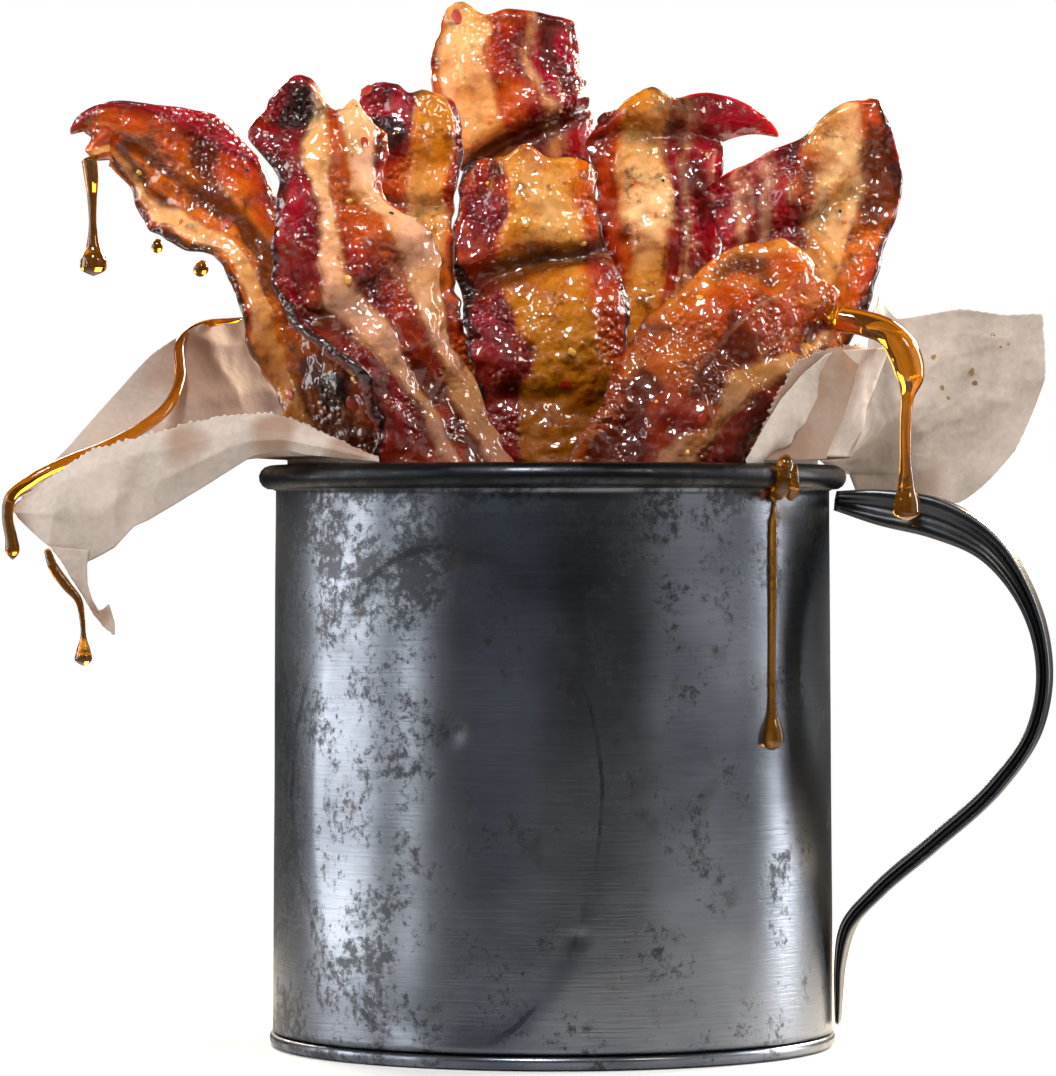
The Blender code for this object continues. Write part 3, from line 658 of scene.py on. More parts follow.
    burn = rough_noise(run / 4.5, v * 3.5, 0, seed + 14)
    char = np.maximum(edge, top * ramp(4.5, 0.0, left + 3 * burn))
    char = np.maximum(char, spots * ramp(0.3, 0.75, burn)) * show
    # painted shade in the hollows of the pits, kept in the char
    for z, place, size in look["shaded_pit"]:
        off = np.hypot((high - z) / size, (v - place) * here[:, 3][:, None] / 2 / size)
        off = off + 0.3 * rough_noise(run / 2.5, v * 4, 0, seed + 19)
        char = np.maximum(char, ramp(1.2, 0.3, off) * (front > 0))
    # relief: the fat stands proud and wrinkles across, the lean is fibrous
    puff = 0.45 * ramp(0.2, 0.8, fat)
    fold = np.sin(run * 1.9 + 4 * rough_noise(run / 6, v * 2, 0, seed + 15))
    puff = puff + 0.13 * fat * fold * ramp(-0.2, 0.5, rough_noise(run / 12, v * 2, 2, seed + 15))
    puff = puff + 0.36 * rough_noise(run / 3.8, v * 4, front, seed + 16)
    puff = puff + 0.15 * (1 - 0.7 * fat) * rough_noise(run / 1.4, v * 9, front, seed + 17)
    puff = puff + 0.25 * char * rough_noise(run / 1.2, v * 9, front, seed + 18)
    # painted shade: dark in the hollows and along the edges, and, in the material, where a strip
    # goes down into the mug
    hollow = rough_noise(run / 8, v * 1.8, 0, seed + 5)
    hollow = hollow + 0.8 * rough_noise(run / 3.8, v * 4, front, seed + 16)
    hollow_shade = np.maximum(hollow_shade, 0.9 * ramp(0.15, -0.75, hollow) * (1 - 0.75 * fat))
    hollow_shade = np.maximum(hollow_shade, 0.75 * ramp(0.93, 1.0, np.abs(v)) * (1 - 0.5 * fat))
    # the fat is palest in the middle of its band: partly its own paler colour, partly a painted
    # glow of light shining through it from behind
    height, place, size, pale_and_glow = look["pale"]
    off = np.hypot((high - height) / size, (v - place) * here[:, 3][:, None] / 2 / size)
    pale = pale_and_glow * np.exp(-(off**2)) * ramp(-0.9, 0.6, rough_noise(run / 5, v * 3, 0, seed + 20))
    thick = STRIP_THICK / 2 * np.sign(front) * np.abs(front) ** 0.62
    tip = np.minimum(left / 1.3, 1.0)
    tail = np.minimum(length * uu / 1.3, 1.0)
    thin = np.sqrt(1 - (1 - tip) ** 2) * np.sqrt(1 - (1 - tail) ** 2)
    grow = (thick + puff * np.sign(front) * np.abs(front) ** 0.5 * show) * thin
    # the thickness stands square to the curled section, not to the route
    lean_angle = np.stack([np.interp(v[0], fine, row) for row in angle])[..., None]
    square = out[:, None] * np.cos(lean_angle) - side[:, None] * np.sin(lean_angle)
    points = mid + square * grow[..., None]
    obj = skin(name + "_rasher", points)
    for key, value in zip(("fat", "warm", "char", "hollow_shade", "pale"), (fat, warm, char, hollow_shade, pale)):
        data = obj.data.attributes.new(key, "FLOAT", "POINT").data
        data.foreach_set("value", value.astype(np.float32).ravel())
    # the map runs along the strip and across it, 1 for every 100 mm
    across = (np.where(front >= 0, v, 4 - v) * here[:, 3][:, None] / 2).ravel()
    index = np.empty(len(obj.data.loops), np.int32)
    obj.data.loops.foreach_get("vertex_index", index)
    uv = np.stack([run.ravel()[index], across[index]], axis=1) / 100
    obj.data.uv_layers[0].name = "grain"
    obj.data.uv_layers[0].data.foreach_set("uv", uv.astype(np.float32).ravel())
    close_up(obj)
    return obj, (points, square * np.sign(front)[..., None], front)


LEAN = [(0.0, "#A00822"), (0.2, "#6C0412"), (0.34, "#860C06"), (0.52, "#B03004"), (0.76, "#CC5404"),
    (1.0, "#D87206")]
FAT = [(0.0, "#E9AE8A"), (0.35, "#E6A458"), (0.65, "#DA8E26"), (1.0, "#D08208")]


def glazed_bacon():
    """Cooked bacon under a hard sugar glaze: soft light passes into the fat,
    the lean is fibrous, and the glaze over both is wet, bubbled and sharp."""
    mat, tree, shader = blank("glazed_streaky_bacon")
    grain = add(tree, "UVMap", uv_map="grain")
    at = add(tree, "TexCoord").outputs["Object"]
    fat, warm, char, hollow_shade, pale = (add(tree, "Attribute",
        attribute_name=key).outputs["Fac"] for key in ("fat", "warm", "char", "hollow_shade", "pale"))
    # lean fibres: 0.4 mm across and about 5 mm long
    long = add(tree, "Mapping", {"Vector": grain, "Scale": (20, 230, 1)})
    sizes = {  # where, scale, detail, roughness, distortion
        "fibre": (long, 1.0, 4.0, 0.6, 0.8), "mottle": (at, 380.0, 5.0, 0.65, 0.0),
        "brown": (at, 120.0, 5.0, 0.6, 0.5), "cloud": (at, 62.0, 3.0, 0.6, 0.0),
        "crumb": (at, 230.0, 4.0, 0.7, 0.0), "wet": (at, 130.0, 2.0, 0.6, 0.0),
        "run": (at, 230.0, 1.5, 0.6, 0.0)}
    keys = ("Vector", "Scale", "Detail", "Roughness", "Distortion")
    made = {name: add(tree, "TexNoise", dict(zip(keys, size))) for name, size in sizes.items()}
    fibre, mottle, brown = made["fibre"], made["mottle"], made["brown"]
    shift = add(tree, "Math", {0: brown, 1: 0.6, 2: -0.3}, operation="MULTIPLY_ADD")
    tone = add(tree, "Math", {0: warm, 1: shift, 2: 0.0}, operation="ADD")
    sides = []
    for stops in (LEAN, FAT):
        node = add(tree, "ValToRGB", {"Fac": tone})
        parts = node.color_ramp.elements
        parts[0].position, parts[0].color = stops[0][0], linear(stops[0][1])
        parts[1].position, parts[1].color = stops[-1][0], linear(stops[-1][1])
        for place, code in stops[1:-1]:
            parts.new(place).color = linear(code)
        sides.append(node)
    soft = {"interpolation_type": "SMOOTHSTEP"}
    span = ("Value", "From Min", "From Max", "To Min", "To Max")
    shade = add(tree, "MapRange", dict(zip(span, (fibre, 0.3, 0.7, 0.74, 1.12))), **soft)
    lean = add(tree, "VectorMath", {0: sides[0], "Scale": shade}, operation="SCALE")
    ragged = add(tree, "Math", {0: mottle, 1: 0.9, 2: -0.45}, operation="MULTIPLY_ADD")
    torn = add(tree, "Math", {0: fibre, 1: 0.35, 2: ragged}, operation="MULTIPLY_ADD")
    torn = add(tree, "Math", {0: fat, 1: torn, 2: 0.0}, operation="ADD")
    split = add(tree, "MapRange", dict(zip(span, (torn, 0.2, 1.05, 0.0, 1.0))), **soft)
    # the pale spot mixes in bright cream: partly the fat's own colour, partly a painted glow of
    # light from behind
    pale_and_glow = add(tree, "Math", {0: pale, 1: 0.75, 2: 0.0}, operation="MULTIPLY")
    fat_pale_and_glow = add(tree, "Mix", {0: pale_and_glow, 6: sides[1], 7: linear("#FFDFA2")}, data_type="RGBA")
    meat = add(tree, "Mix", {0: split, 6: lean, 7: fat_pale_and_glow}, data_type="RGBA")
    # caramel brown settles in patches a few millimetres wide
    clean = add(tree, "MapRange", dict(zip(span, (tone, 0.15, 0.7, 0.25, 1.0))), **soft)
    for source, low, high, most, code in ((brown, 0.46, 0.70, 0.7, "#B2520A"),
        (made["cloud"], 0.5, 0.72, 0.6, "#963408"), (made["crumb"], 0.54, 0.68, 0.7, "#5A1C08")):
        patch = add(tree, "MapRange", dict(zip(span, (source, low, high, 0.0, most))), **soft)
        patch = add(tree, "Math", {0: patch, 1: clean, 2: 0.0}, operation="MULTIPLY")
        meat = add(tree, "Mix", {0: patch, 6: meat, 7: linear(code)}, data_type="RGBA")
    # painted shade: darker towards the rim and in the hollows; darker still where it is charred and
    # in the pits
    height = add(tree, "SeparateXYZ", {"Vector": at}).outputs["Z"]
    shade_in_hollows = add(tree, "Math", {0: ragged, 1: 0.7, 2: hollow_shade}, operation="MULTIPLY_ADD")
    scorch_and_shade = add(tree, "Math", {0: ragged, 1: 1.3, 2: char}, operation="MULTIPLY_ADD")
    # the colours towards the rim and in the hollows are painted shade; the last is char, with the
    # painted shade of the pits
    for source, low, high, most, code in ((height, 0.136, 0.094, 0.7, "#541606"),
        (shade_in_hollows, 0.1, 0.9, 0.85, "#471203"), (scorch_and_shade, 0.15, 0.8, 0.94, "#190B09")):
        over = add(tree, "MapRange", dict(zip(span, (source, low, high, 0.0, most))), **soft)
        meat = add(tree, "Mix", {0: over, 6: meat, 7: linear(code)}, data_type="RGBA")
    dull = add(tree, "MapRange", dict(zip(span, (mottle, 0.35, 0.65, 0.2, 0.42))), **soft)
    wear(tree, shader, Base_Color=meat, Roughness=dull)
    for key, value in {"IOR": 1.45, "Specular IOR Level": 0.2, "Coat Weight": 1.0,
        "Coat Roughness": 0.04, "Coat IOR": 1.5, "Subsurface Weight": 0.45,
        "Subsurface Radius": (1.0, 0.4, 0.12), "Subsurface Scale": 0.004}.items():
        shader.inputs[key].default_value = value
    # the glaze: beads and bubbles about 1 mm across gather over slower runs
    bubble = add(tree, "TexVoronoi", {"Vector": at, "Scale": 900.0, "Smoothness": 0.5},
        feature="SMOOTH_F1")
    where = add(tree, "MapRange", dict(zip(span, (made["wet"], 0.45, 0.62, 0.0, 1.0))), **soft)
    on_lean = add(tree, "MapRange", dict(zip(span, (fat, 0.9, 0.1, 0.35, 1.0))), **soft)
    where = add(tree, "Math", {0: where, 1: on_lean, 2: 0.0}, operation="MULTIPLY")
    beads = add(tree, "Math", {0: bubble, 1: -1.1, 2: 0.0}, operation="MULTIPLY")
    beads = add(tree, "Math", {0: beads, 1: where, 2: 0.0}, operation="MULTIPLY")
    runs = add(tree, "Math", {0: made["run"], 1: 2.0, 2: beads}, operation="MULTIPLY_ADD")
    coat = add(tree, "Bump", {"Height": runs, "Strength": 0.7, "Distance": 0.0012})
    rough = add(tree, "Math", {0: fibre, 1: 0.25, 2: mottle}, operation="MULTIPLY_ADD")
    under = {"Height": rough, "Strength": 0.6, "Distance": 0.0006, "Normal": coat}
    wear(tree, shader, Normal=add(tree, "Bump", under), Coat_Normal=coat)
    return mat


bacon = glazed_bacon()
rashers = {}
for number, (name, look) in enumerate(STRIPS.items()):
    piece, rashers[name] = rasher(name, look, 100 * (number + 1))
    join_in(piece, bacon, "cooked_bacon", name)

# ---------------------------------------------------------------- paper
# Unbleached baking paper lines the mug, passes over the bead and opens on
# both sides. Its cut edges are serrated, it is creased where it was folded,
# and syrup and fat have soaked it brown next to the strips.
PAPER_THICK = 0.22
LINER_R = 43.9
LIP_R = 49.6
LIP_Z = 97.4
TOOTH = 1.6
LEFT_PAPER = [  # angle round the rim, a point of its fold, a point of its edge
    (-129, -27.6, -33.9, 95.4, -27.6, -33.8, 96.0),
    (-143, -36.8, -28.6, 100.0, -36.8, -28.2, 100.6),
    (-154, -50.2, -26.6, 101.6, -50.2, -26.2, 102.4),
    (-164, -60.5, -26.0, 99.4, -60.5, -25.4, 100.2), (-172, -71.0, -25.0, 96.6, -71.0, -24.4, 97.4),
    (-178, -79.6, -23.8, 93.6, -79.6, -23.2, 94.4), (-182, -84.0, -20.4, 91.8, -88.2, -21.6, 89.6),
    (-185, -78.0, -15.5, 95.0, -80.8, -15.0, 97.0), (-188, -69.5, -8.0, 100.5, -73.3, -6.0, 106.5),
    (-191, -62.5, -1.0, 105.5, -66.8, 1.0, 114.4), (-195, -54.0, 7.0, 108.0, -58.5, 8.5, 120.0),
    (-202, -46.5, 16.0, 109.0, -49.0, 17.5, 121.0), (-216, -36.6, 28.0, 103.0, -37.5, 29.0, 110.0)]
RIGHT_PAPER = [(-46, 30.5, -31.5, 95.4, 30.5, -31.5, 96.6),
    (-39, 36.4, -30.0, 101.0, 36.6, -30.4, 107.0), (-31, 42.0, -26.0, 105.5, 43.2, -26.8, 113.6),
    (-21, 48.4, -18.5, 107.0, 51.6, -18.0, 115.4), (-10, 51.5, -7.5, 107.0, 54.2, -7.0, 117.0),
    (-3, 53.6, 5.0, 109.0, 55.0, 7.0, 124.6), (2, 57.0, 9.5, 109.0, 57.6, 11.5, 120.8),
    (7, 62.0, 12.5, 110.0, 68.0, 15.0, 122.4), (10, 67.4, 14.2, 110.4, 76.4, 16.4, 121.6),
    (12, 69.6, 14.8, 109.4, 82.4, 17.4, 121.8), (13, 70.6, 15.0, 108.6, 82.8, 17.5, 119.6),
    (15, 71.0, 15.2, 106.0, 82.8, 17.5, 111.0), (18, 67.0, 15.8, 100.0, 78.0, 17.0, 98.6),
    (21, 60.5, 16.6, 95.5, 69.0, 16.0, 90.0), (24, 50.5, 19.5, 95.0, 52.0, 18.0, 90.4)]
FOLD_PANEL = [  # serrated edge, ridge, belly and lower edge of the turned-over front
    ((-87.8, -22.6, 89.6), (-87.6, -23.6, 88.8), (-87.4, -23.8, 88.0), (-87.0, -23.0, 86.9)),
    ((-80.4, -24.8, 94.2), (-79.6, -26.6, 93.0), (-80.4, -28.2, 88.0), (-81.4, -26.4, 82.6)),
    ((-74.9, -25.8, 98.0), (-73.4, -28.2, 95.4), (-74.4, -28.6, 88.0), (-75.2, -27.2, 80.1)),
    ((-71.0, -26.2, 99.2), (-69.6, -28.6, 96.6), (-70.2, -29.8, 90.0), (-70.6, -27.8, 82.4)),
    ((-67.5, -26.4, 100.2), (-66.6, -28.8, 97.6), (-67.2, -28.6, 92.0), (-67.5, -28.4, 85.8)),
    ((-63.4, -26.6, 101.4), (-62.4, -29.2, 98.4), (-63.4, -30.0, 93.0), (-64.9, -28.6, 86.9)),
    ((-59.0, -26.8, 102.8), (-57.6, -29.6, 99.6), (-57.4, -30.4, 96.0), (-56.7, -29.2, 91.7)),
    ((-51.1, -27.0, 104.2), (-50.1, -30.2, 101.4), (-49.6, -30.6, 99.4), (-48.5, -30.0, 97.0)),
    ((-45.4, -27.6, 104.4), (-44.4, -30.4, 101.2), (-43.8, -31.2, 99.8), (-43.0, -30.6, 98.1)),
    ((-41.4, -28.4, 103.2), (-40.6, -31.0, 100.9), (-40.4, -31.6, 99.2), (-39.9, -31.0, 97.3)),
    ((-36.0, -30.0, 100.8), (-36.2, -31.6, 99.8), (-36.0, -32.2, 98.2), (-35.6, -31.8, 96.8)),
    ((-27.9, -34.1, 97.0), (-27.9, -34.5, 96.8), (-27.9, -34.6, 96.5), (-27.9, -34.7, 96.2))]
SPIKE = [  # left and right edges of the torn point under the fold
    ((-81.0, -27.0, 82.6), (-74.6, -27.4, 82.0)), ((-79.3, -27.4, 80.5), (-75.0, -27.8, 79.6)),
    ((-77.7, -27.6, 77.9), (-74.9, -28.0, 76.6)), ((-76.2, -27.6, 75.6), (-74.2, -28.2, 74.2)),
    ((-74.6, -27.8, 73.0), (-72.7, -28.2, 71.7)), ((-73.4, -27.9, 71.2), (-71.4, -28.6, 73.4)),
    ((-72.0, -28.0, 69.6), (-70.5, -28.4, 70.4)), ((-70.8, -28.0, 68.6), (-70.5, -28.1, 68.5))]
LAPEL = [  # serrated and folded edges of the right sheet's turned-back corner
    ((31.5, -32.8, 96.3), (43.9, -28.4, 96.7)), ((32.5, -32.6, 98.5), (44.5, -28.0, 98.6)),
    ((34.9, -32.0, 103.5), (45.6, -27.2, 100.9)), ((36.6, -31.4, 107.3), (46.9, -26.4, 103.6)),
    ((39.1, -30.2, 111.7), (47.9, -25.6, 106.2)), ((40.9, -29.2, 112.9), (48.8, -24.6, 108.8)),
    ((44.7, -26.7, 114.4), (49.5, -23.4, 111.2)), ((48.2, -22.9, 115.2), (50.2, -21.6, 113.4)),
    ((50.7, -19.4, 115.3), (50.9, -19.4, 115.2))]


def between(table, count, crisp):
    """Rows of a table filled in to a count, partly straight and partly smooth."""
    table = np.array(table, float)
    t = np.linspace(0, 1, count)
    s = np.linspace(0, 1, len(table))
    straight = np.stack([np.interp(t, s, table[:, k]) for k in range(table.shape[1])], axis=-1)
    d = np.diff(table, axis=0)
    slope = np.vstack([d[:1], (d[:-1] + d[1:]) / 2, d[-1:]])
    f = t * (len(table) - 1)
    i = np.clip(f.astype(int), 0, len(table) - 2)
    x = (f - i)[:, None]
    curve = (
        (1 + 2 * x) * (1 - x) ** 2 * table[i]
        + x * (1 - x) ** 2 * slope[i]
        + x * x * (3 - 2 * x) * table[i + 1]
        + x * x * (x - 1) * slope[i + 1]
    )
    return straight * crisp + curve * (1 - crisp)


def crumple(points, seed, amount):
    """Creases: sheets of paper bend in flat facets with sharp lines between."""
    du = np.gradient(points, axis=0)
    dv = np.gradient(points, axis=1)
    n = np.cross(dv, du)
    n /= np.maximum(np.linalg.norm(n, axis=2, keepdims=True), 1e-9)
    x, y, z = (points[..., k] for k in range(3))
    d = 0
    for size, deep in ((24, 1.0), (11, 0.5), (5, 0.2), (2.2, 0.06)):
        ridge = 1 - 2 * np.abs(rough_noise(x / size, y / size, z / size, seed + int(size * 10)))
        d = d + deep * ridge
    return points + n * (d * amount)[..., None]


def lining(columns, sag, seed, amount, teeth):
    """A sheet from inside the mug, over the bead and out to its cut edge."""
    cols = between(columns, 230, 0.45)
    a = np.radians(cols[:, 0])
    cs = np.stack([np.cos(a), np.sin(a)], axis=-1)
    fold, edge = cols[:, 1:4], cols[:, 4:7].copy()
    far = np.hypot(fold[:, 0], fold[:, 1])
    lip_r = np.clip(far - 1.5, LINER_R, LIP_R)
    lip_z = np.where(lip_r > BEAD_MID - 1.5, LIP_Z, np.minimum(LIP_Z, fold[:, 2] - 1.0))
    foot = np.column_stack([LINER_R * cs, 0 * a + 42.0])
    rim = np.column_stack([LINER_R * cs, 0 * a + RIM_Z - 3.0])
    near = np.column_stack([LINER_R * cs, lip_z - 0.3])
    lip = np.column_stack([lip_r[:, None] * cs, lip_z])
    mid = (lip + fold) / 2
    mid[:, 2] -= sag * np.linalg.norm(fold - lip, axis=1) / 20
    rows = np.stack([foot, rim, near, lip, mid, fold, (fold + edge) / 2, edge])
    # rows of the fine sheet, closer together past the bead
    near_rows, lip_rows = np.linspace(0, 1, 14)[:-1], np.linspace(1, 3, 16)[:-1]
    t = np.concatenate([near_rows, lip_rows, np.linspace(3, 7, 92)])
    low = np.clip(t.astype(int), 0, 6)
    f = (t - low)[:, None, None]
    grid = rows[low] * (1 - f) + rows[low + 1] * f
    loose = ramp(3.0, 4.2, t)[:, None]
    soft = grid.copy()
    for _ in range(6):
        soft[1:-1] = (soft[:-2] + soft[1:-1] * 2 + soft[2:]) / 4
    grid = grid * (1 - loose[..., None]) + soft * loose[..., None]
    grid = grid * (1 - loose[..., None]) + crumple(grid, seed, amount) * loose[..., None]
    # serrated edge: a tooth every TOOTH mm
    step = np.linalg.norm(np.diff(edge, axis=0), axis=1)
    s = np.concatenate([[0], np.cumsum(step)])
    reach = 0.6 + teeth * np.abs(np.mod(s / TOOTH, 1) - 0.5)
    grid[-1] = grid[-2] + (grid[-1] - grid[-2]) * reach[:, None]
    return grid


def thicken(obj, thick):
    """Gives a sheet its thickness in mm, half to each side."""
    bpy.context.view_layer.objects.active = obj
    solid = obj.modifiers.new("thickness", "SOLIDIFY")
    solid.thickness = thick / 1000
    solid.offset = 0.0
    bpy.ops.object.modifier_apply(modifier=solid.name)


def baking_paper():
    """Unbleached greaseproof paper: matt, beige-grey, faintly fibrous, with
    brown soak marks that are a little less rough."""
    mat, tree, shader = blank("unbleached_baking_paper")
    at = add(tree, "TexCoord").outputs["Object"]
    soak = add(tree, "Attribute", attribute_name="soak").outputs["Fac"]
    fibre = add(tree, "TexNoise", {"Vector": at, "Scale": 900.0, "Detail": 5.0})
    patch = add(tree, "TexNoise", {"Vector": at, "Scale": 75.0, "Detail": 4.0})
    tone = add(tree, "Math", {0: fibre, 1: 0.35, 2: patch}, operation="MULTIPLY_ADD")
    tone = add(tree, "MapRange", {"Value": tone, "From Min": 0.45, "From Max": 0.9})
    dry = add(tree, "Mix", {0: tone, 6: linear("#A0948A"), 7: linear("#CFC3B9")}, data_type="RGBA")
    wet = add(tree, "Math", {0: patch, 1: 0.8, 2: -0.4}, operation="MULTIPLY_ADD")
    # the soak attribute also holds an even painted shade on the left sheets and the lapel
    wet = add(tree, "Math", {0: wet, 1: soak}, operation="ADD")
    wet = add(tree, "MapRange", {"Value": wet, "From Min": 0.1, "From Max": 0.95, "To Max": 0.8})
    colour = add(tree, "Mix", {0: wet, 6: dry, 7: linear("#86624A")}, data_type="RGBA")
    wear(tree, shader, Base_Color=colour)
    rough = add(tree, "MapRange", {"Value": wet, "To Min": 0.75, "To Max": 0.6})
    wear(tree, shader, Roughness=rough)
    bump = add(tree, "Bump", {"Height": fibre, "Strength": 0.25, "Distance": 0.0003})
    wear(tree, shader, Normal=bump)
    return mat


def soaked(obj, points, spots, painted_shade_level=0.0):
    """How wet each point is, from spots of x, y, z and radius, over an even base level that is
    painted shade.
    """
    wet = 0 * points[..., 0] + painted_shade_level
    for x, y, z, size in spots:
        off = np.linalg.norm(points - np.array((x, y, z)), axis=2)
        off = off + 0.35 * size * rough_noise(*(points / 5).transpose(2, 0, 1), 90)
        wet = np.maximum(wet, ramp(size * 1.5, size * 0.3, off))
    data = obj.data.attributes.new("soak", "FLOAT", "POINT").data
    data.foreach_set("value", wet.astype(np.float32).ravel())


paper = baking_paper()
left = lining(LEFT_PAPER, 0.6, 40, 1.0, 0.9)
obj = skin("paper_left_sheet", left)
LEFT_SOAK = [(-50, 10, 112, 20), (-42, 0, 100, 16), (-56, 4, 112, 10), (-45, -18, 98, 8)]
# the left sheet's base level of 0.3 is painted shade
soaked(obj, left, LEFT_SOAK, 0.3)
thicken(obj, PAPER_THICK)
join_in(obj, paper, "baking_paper", "paper_left")


def flap(table, across, along_it, crisp, seed, amount, tooth):
    """A small sheet between the edges in a table, its first edge serrated."""
    table = np.array(table, float)
    lines = table.shape[1]
    rows = between(table.reshape(len(table), lines * 3), along_it, crisp)
    rows = rows.reshape(along_it, lines, 3).transpose(1, 0, 2)
    t = np.linspace(0, lines - 1, across)
    low = np.clip(t.astype(int), 0, lines - 2)
    f = (t - low)[:, None, None]
    sheet = rows[low] * (1 - f) + rows[low + 1] * f
    for _ in range(3):
        sheet[1:-1] = (sheet[:-2] + 2 * sheet[1:-1] + sheet[2:]) / 4
    sheet = crumple(sheet, seed, amount)
    step = np.linalg.norm(np.diff(sheet[0], axis=0), axis=1)
    s = np.concatenate([[0], np.cumsum(step)])
    out = sheet[0] - sheet[2]
    out /= np.maximum(np.linalg.norm(out, axis=1, keepdims=True), 1e-6)
    jag = np.abs(np.mod(s / 1.1, 1) - 0.5) + 0.4 * rough_noise(s / 0.8, 0, 0, seed + 1)
    sheet[0] += out * (tooth * jag)[:, None]
    return sheet


fold = flap(FOLD_PANEL, 60, 300, 0.75, 60, 0.5, 0.9)
obj = skin("paper_left_fold", fold)
# the fold's base level of 0.25 is painted shade
soaked(obj, fold, [(-32, -32, 97, 5), (-45, -30, 101, 5), (-60, -29, 100, 4)], 0.25)
thicken(obj, PAPER_THICK)
join_in(obj, paper, "baking_paper", "paper_left")

spike = flap(SPIKE, 14, 70, 0.9, 64, 0.15, 0.2)
obj = skin("paper_left_point", spike)
# the point's base level of 0.4 is painted shade
soaked(obj, spike, [(-73, -28, 72, 3)], 0.4)
thicken(obj, PAPER_THICK)
join_in(obj, paper, "baking_paper", "paper_left")

right = lining(RIGHT_PAPER, 0.3, 80, 1.6, 1.2)
obj = skin("paper_right_sheet", right)
soaked(obj, right, [(50, -6, 104, 8), (44, 2, 98, 7), (62, 12, 92, 5), (44, -26, 100, 4)])
thicken(obj, PAPER_THICK)
join_in(obj, paper, "baking_paper", "paper_right")

lapel = flap(LAPEL, 60, 150, 0.5, 84, 0.5, 1.0)
obj = skin("paper_right_lapel", lapel)
# the lapel's base level of 0.8 is painted shade, as it stands in shade
soaked(obj, lapel, [(36, -30, 102, 9), (42, -27, 108, 7)], 0.8)
thicken(obj, PAPER_THICK)
join_in(obj, paper, "baking_paper", "paper_right")

# ---------------------------------------------------------------- syrup
# Clear amber syrup that has run off the strips: threads that hang from the
# strips and the paper and end in drops, runs over the paper and one down the
# front of the mug. It is thin and holds on by itself.
RUNS = {  # x, y, z and radius along each run
    "syrup_tip": [(-76.0, -12.5, 146.5, 1.3), (-75.6, -12.8, 143.5, 1.2),
    (-75.4, -12.8, 139.0, 0.75), (-75.3, -12.8, 134.5, 0.7), (-75.2, -12.8, 131.5, 1.3),
    (-75.2, -12.8, 129.2, 2.15), (-75.2, -12.8, 127.8, 1.9), (-75.2, -12.8, 126.9, 0.6)],
    "syrup_right": [(42.0, -18.0, 122.4, 0.8), (46.0, -19.4, 119.8, 2.0), (50.6, -20.4, 118.8, 2.1),
    (54.4, -21.0, 117.2, 2.2), (57.0, -21.2, 113.8, 2.6), (57.9, -21.2, 110.2, 2.3),
    (57.5, -21.2, 107.0, 1.15), (57.2, -21.2, 102.0, 0.95), (57.2, -21.2, 96.0, 1.0),
    (57.3, -21.2, 92.0, 1.5), (57.3, -21.2, 89.2, 2.1), (57.3, -21.2, 87.4, 1.7),
    (57.3, -21.2, 86.7, 0.5)],
    "syrup_mug": [(36.6, -31.0, 96.3, 0.6), (36.9, -31.4, 96.4, 1.1), (36.9, -32.3, 94.0, 1.2),
    (36.2, -31.0, 91.4, 1.3), (35.4, -29.4, 90.6, 0.8), (35.2, -29.6, 86.0, 0.8),
    (35.2, -29.8, 76.0, 0.75), (35.0, -30.0, 62.0, 0.75), (35.2, -30.1, 55.5, 0.9),
    (35.3, -30.2, 52.4, 1.7), (35.3, -30.2, 50.9, 1.6), (35.3, -30.2, 49.9, 0.5)],
    "syrup_left": [(-52.0, 8.0, 120.6, 0.4), (-58.8, 7.8, 119.6, 0.7), (-62.0, 3.0, 116.6, 0.8),
    (-61.8, -1.0, 110.6, 0.9), (-63.5, -7.0, 105.6, 1.0), (-68.0, -13.0, 101.6, 1.0),
    (-73.5, -18.0, 98.4, 1.1), (-79.0, -21.0, 96.2, 1.0), (-84.4, -22.6, 93.4, 1.0),
    (-87.8, -23.2, 90.4, 1.0), (-88.2, -23.4, 87.0, 0.9), (-87.6, -23.4, 83.8, 1.0),
    (-87.4, -23.4, 81.6, 1.1), (-87.4, -23.4, 80.4, 0.4)],
    "syrup_left_low": [(-81.6, -26.8, 82.4, 0.5), (-80.6, -27.2, 79.6, 0.8),
    (-78.2, -27.4, 76.2, 0.8), (-76.4, -27.6, 74.0, 0.6), (-75.8, -27.6, 71.0, 0.45),
    (-75.6, -27.6, 68.0, 0.5), (-75.6, -27.6, 65.6, 1.2), (-75.6, -27.6, 64.2, 1.3),
    (-75.6, -27.6, 63.4, 0.4)],
    "syrup_rim_drop": [(38.6, -30.2, 95.8, 0.5), (38.6, -31.0, 94.0, 0.8), (38.4, -30.6, 92.2, 1.0),
    (38.2, -29.4, 90.8, 1.1), (38.2, -29.2, 89.9, 0.4)],
    "syrup_back_drop": [(-57.2, -11.0, 129.4, 0.5), (-57.6, -11.4, 128.4, 1.2),
    (-57.8, -11.4, 127.4, 1.0), (-57.8, -11.4, 126.8, 0.3)],
    "syrup_side_drop": [(-64.8, -10.6, 133.0, 0.5), (-64.9, -11.0, 132.0, 0.9),
    (-64.9, -11.0, 131.2, 0.8), (-64.9, -11.0, 130.7, 0.3)]}


def amber_syrup(name, colour):
    """Clear sugar syrup: water-smooth, amber in depth, golden at its edges."""
    mat, tree, shader = blank(name)
    shader.inputs["Base Color"].default_value = linear(colour)
    shader.inputs["Transmission Weight"].default_value = 0.92
    shader.inputs["Roughness"].default_value = 0.03
    shader.inputs["IOR"].default_value = 1.46
    shader.inputs["Specular IOR Level"].default_value = 0.6
    return mat


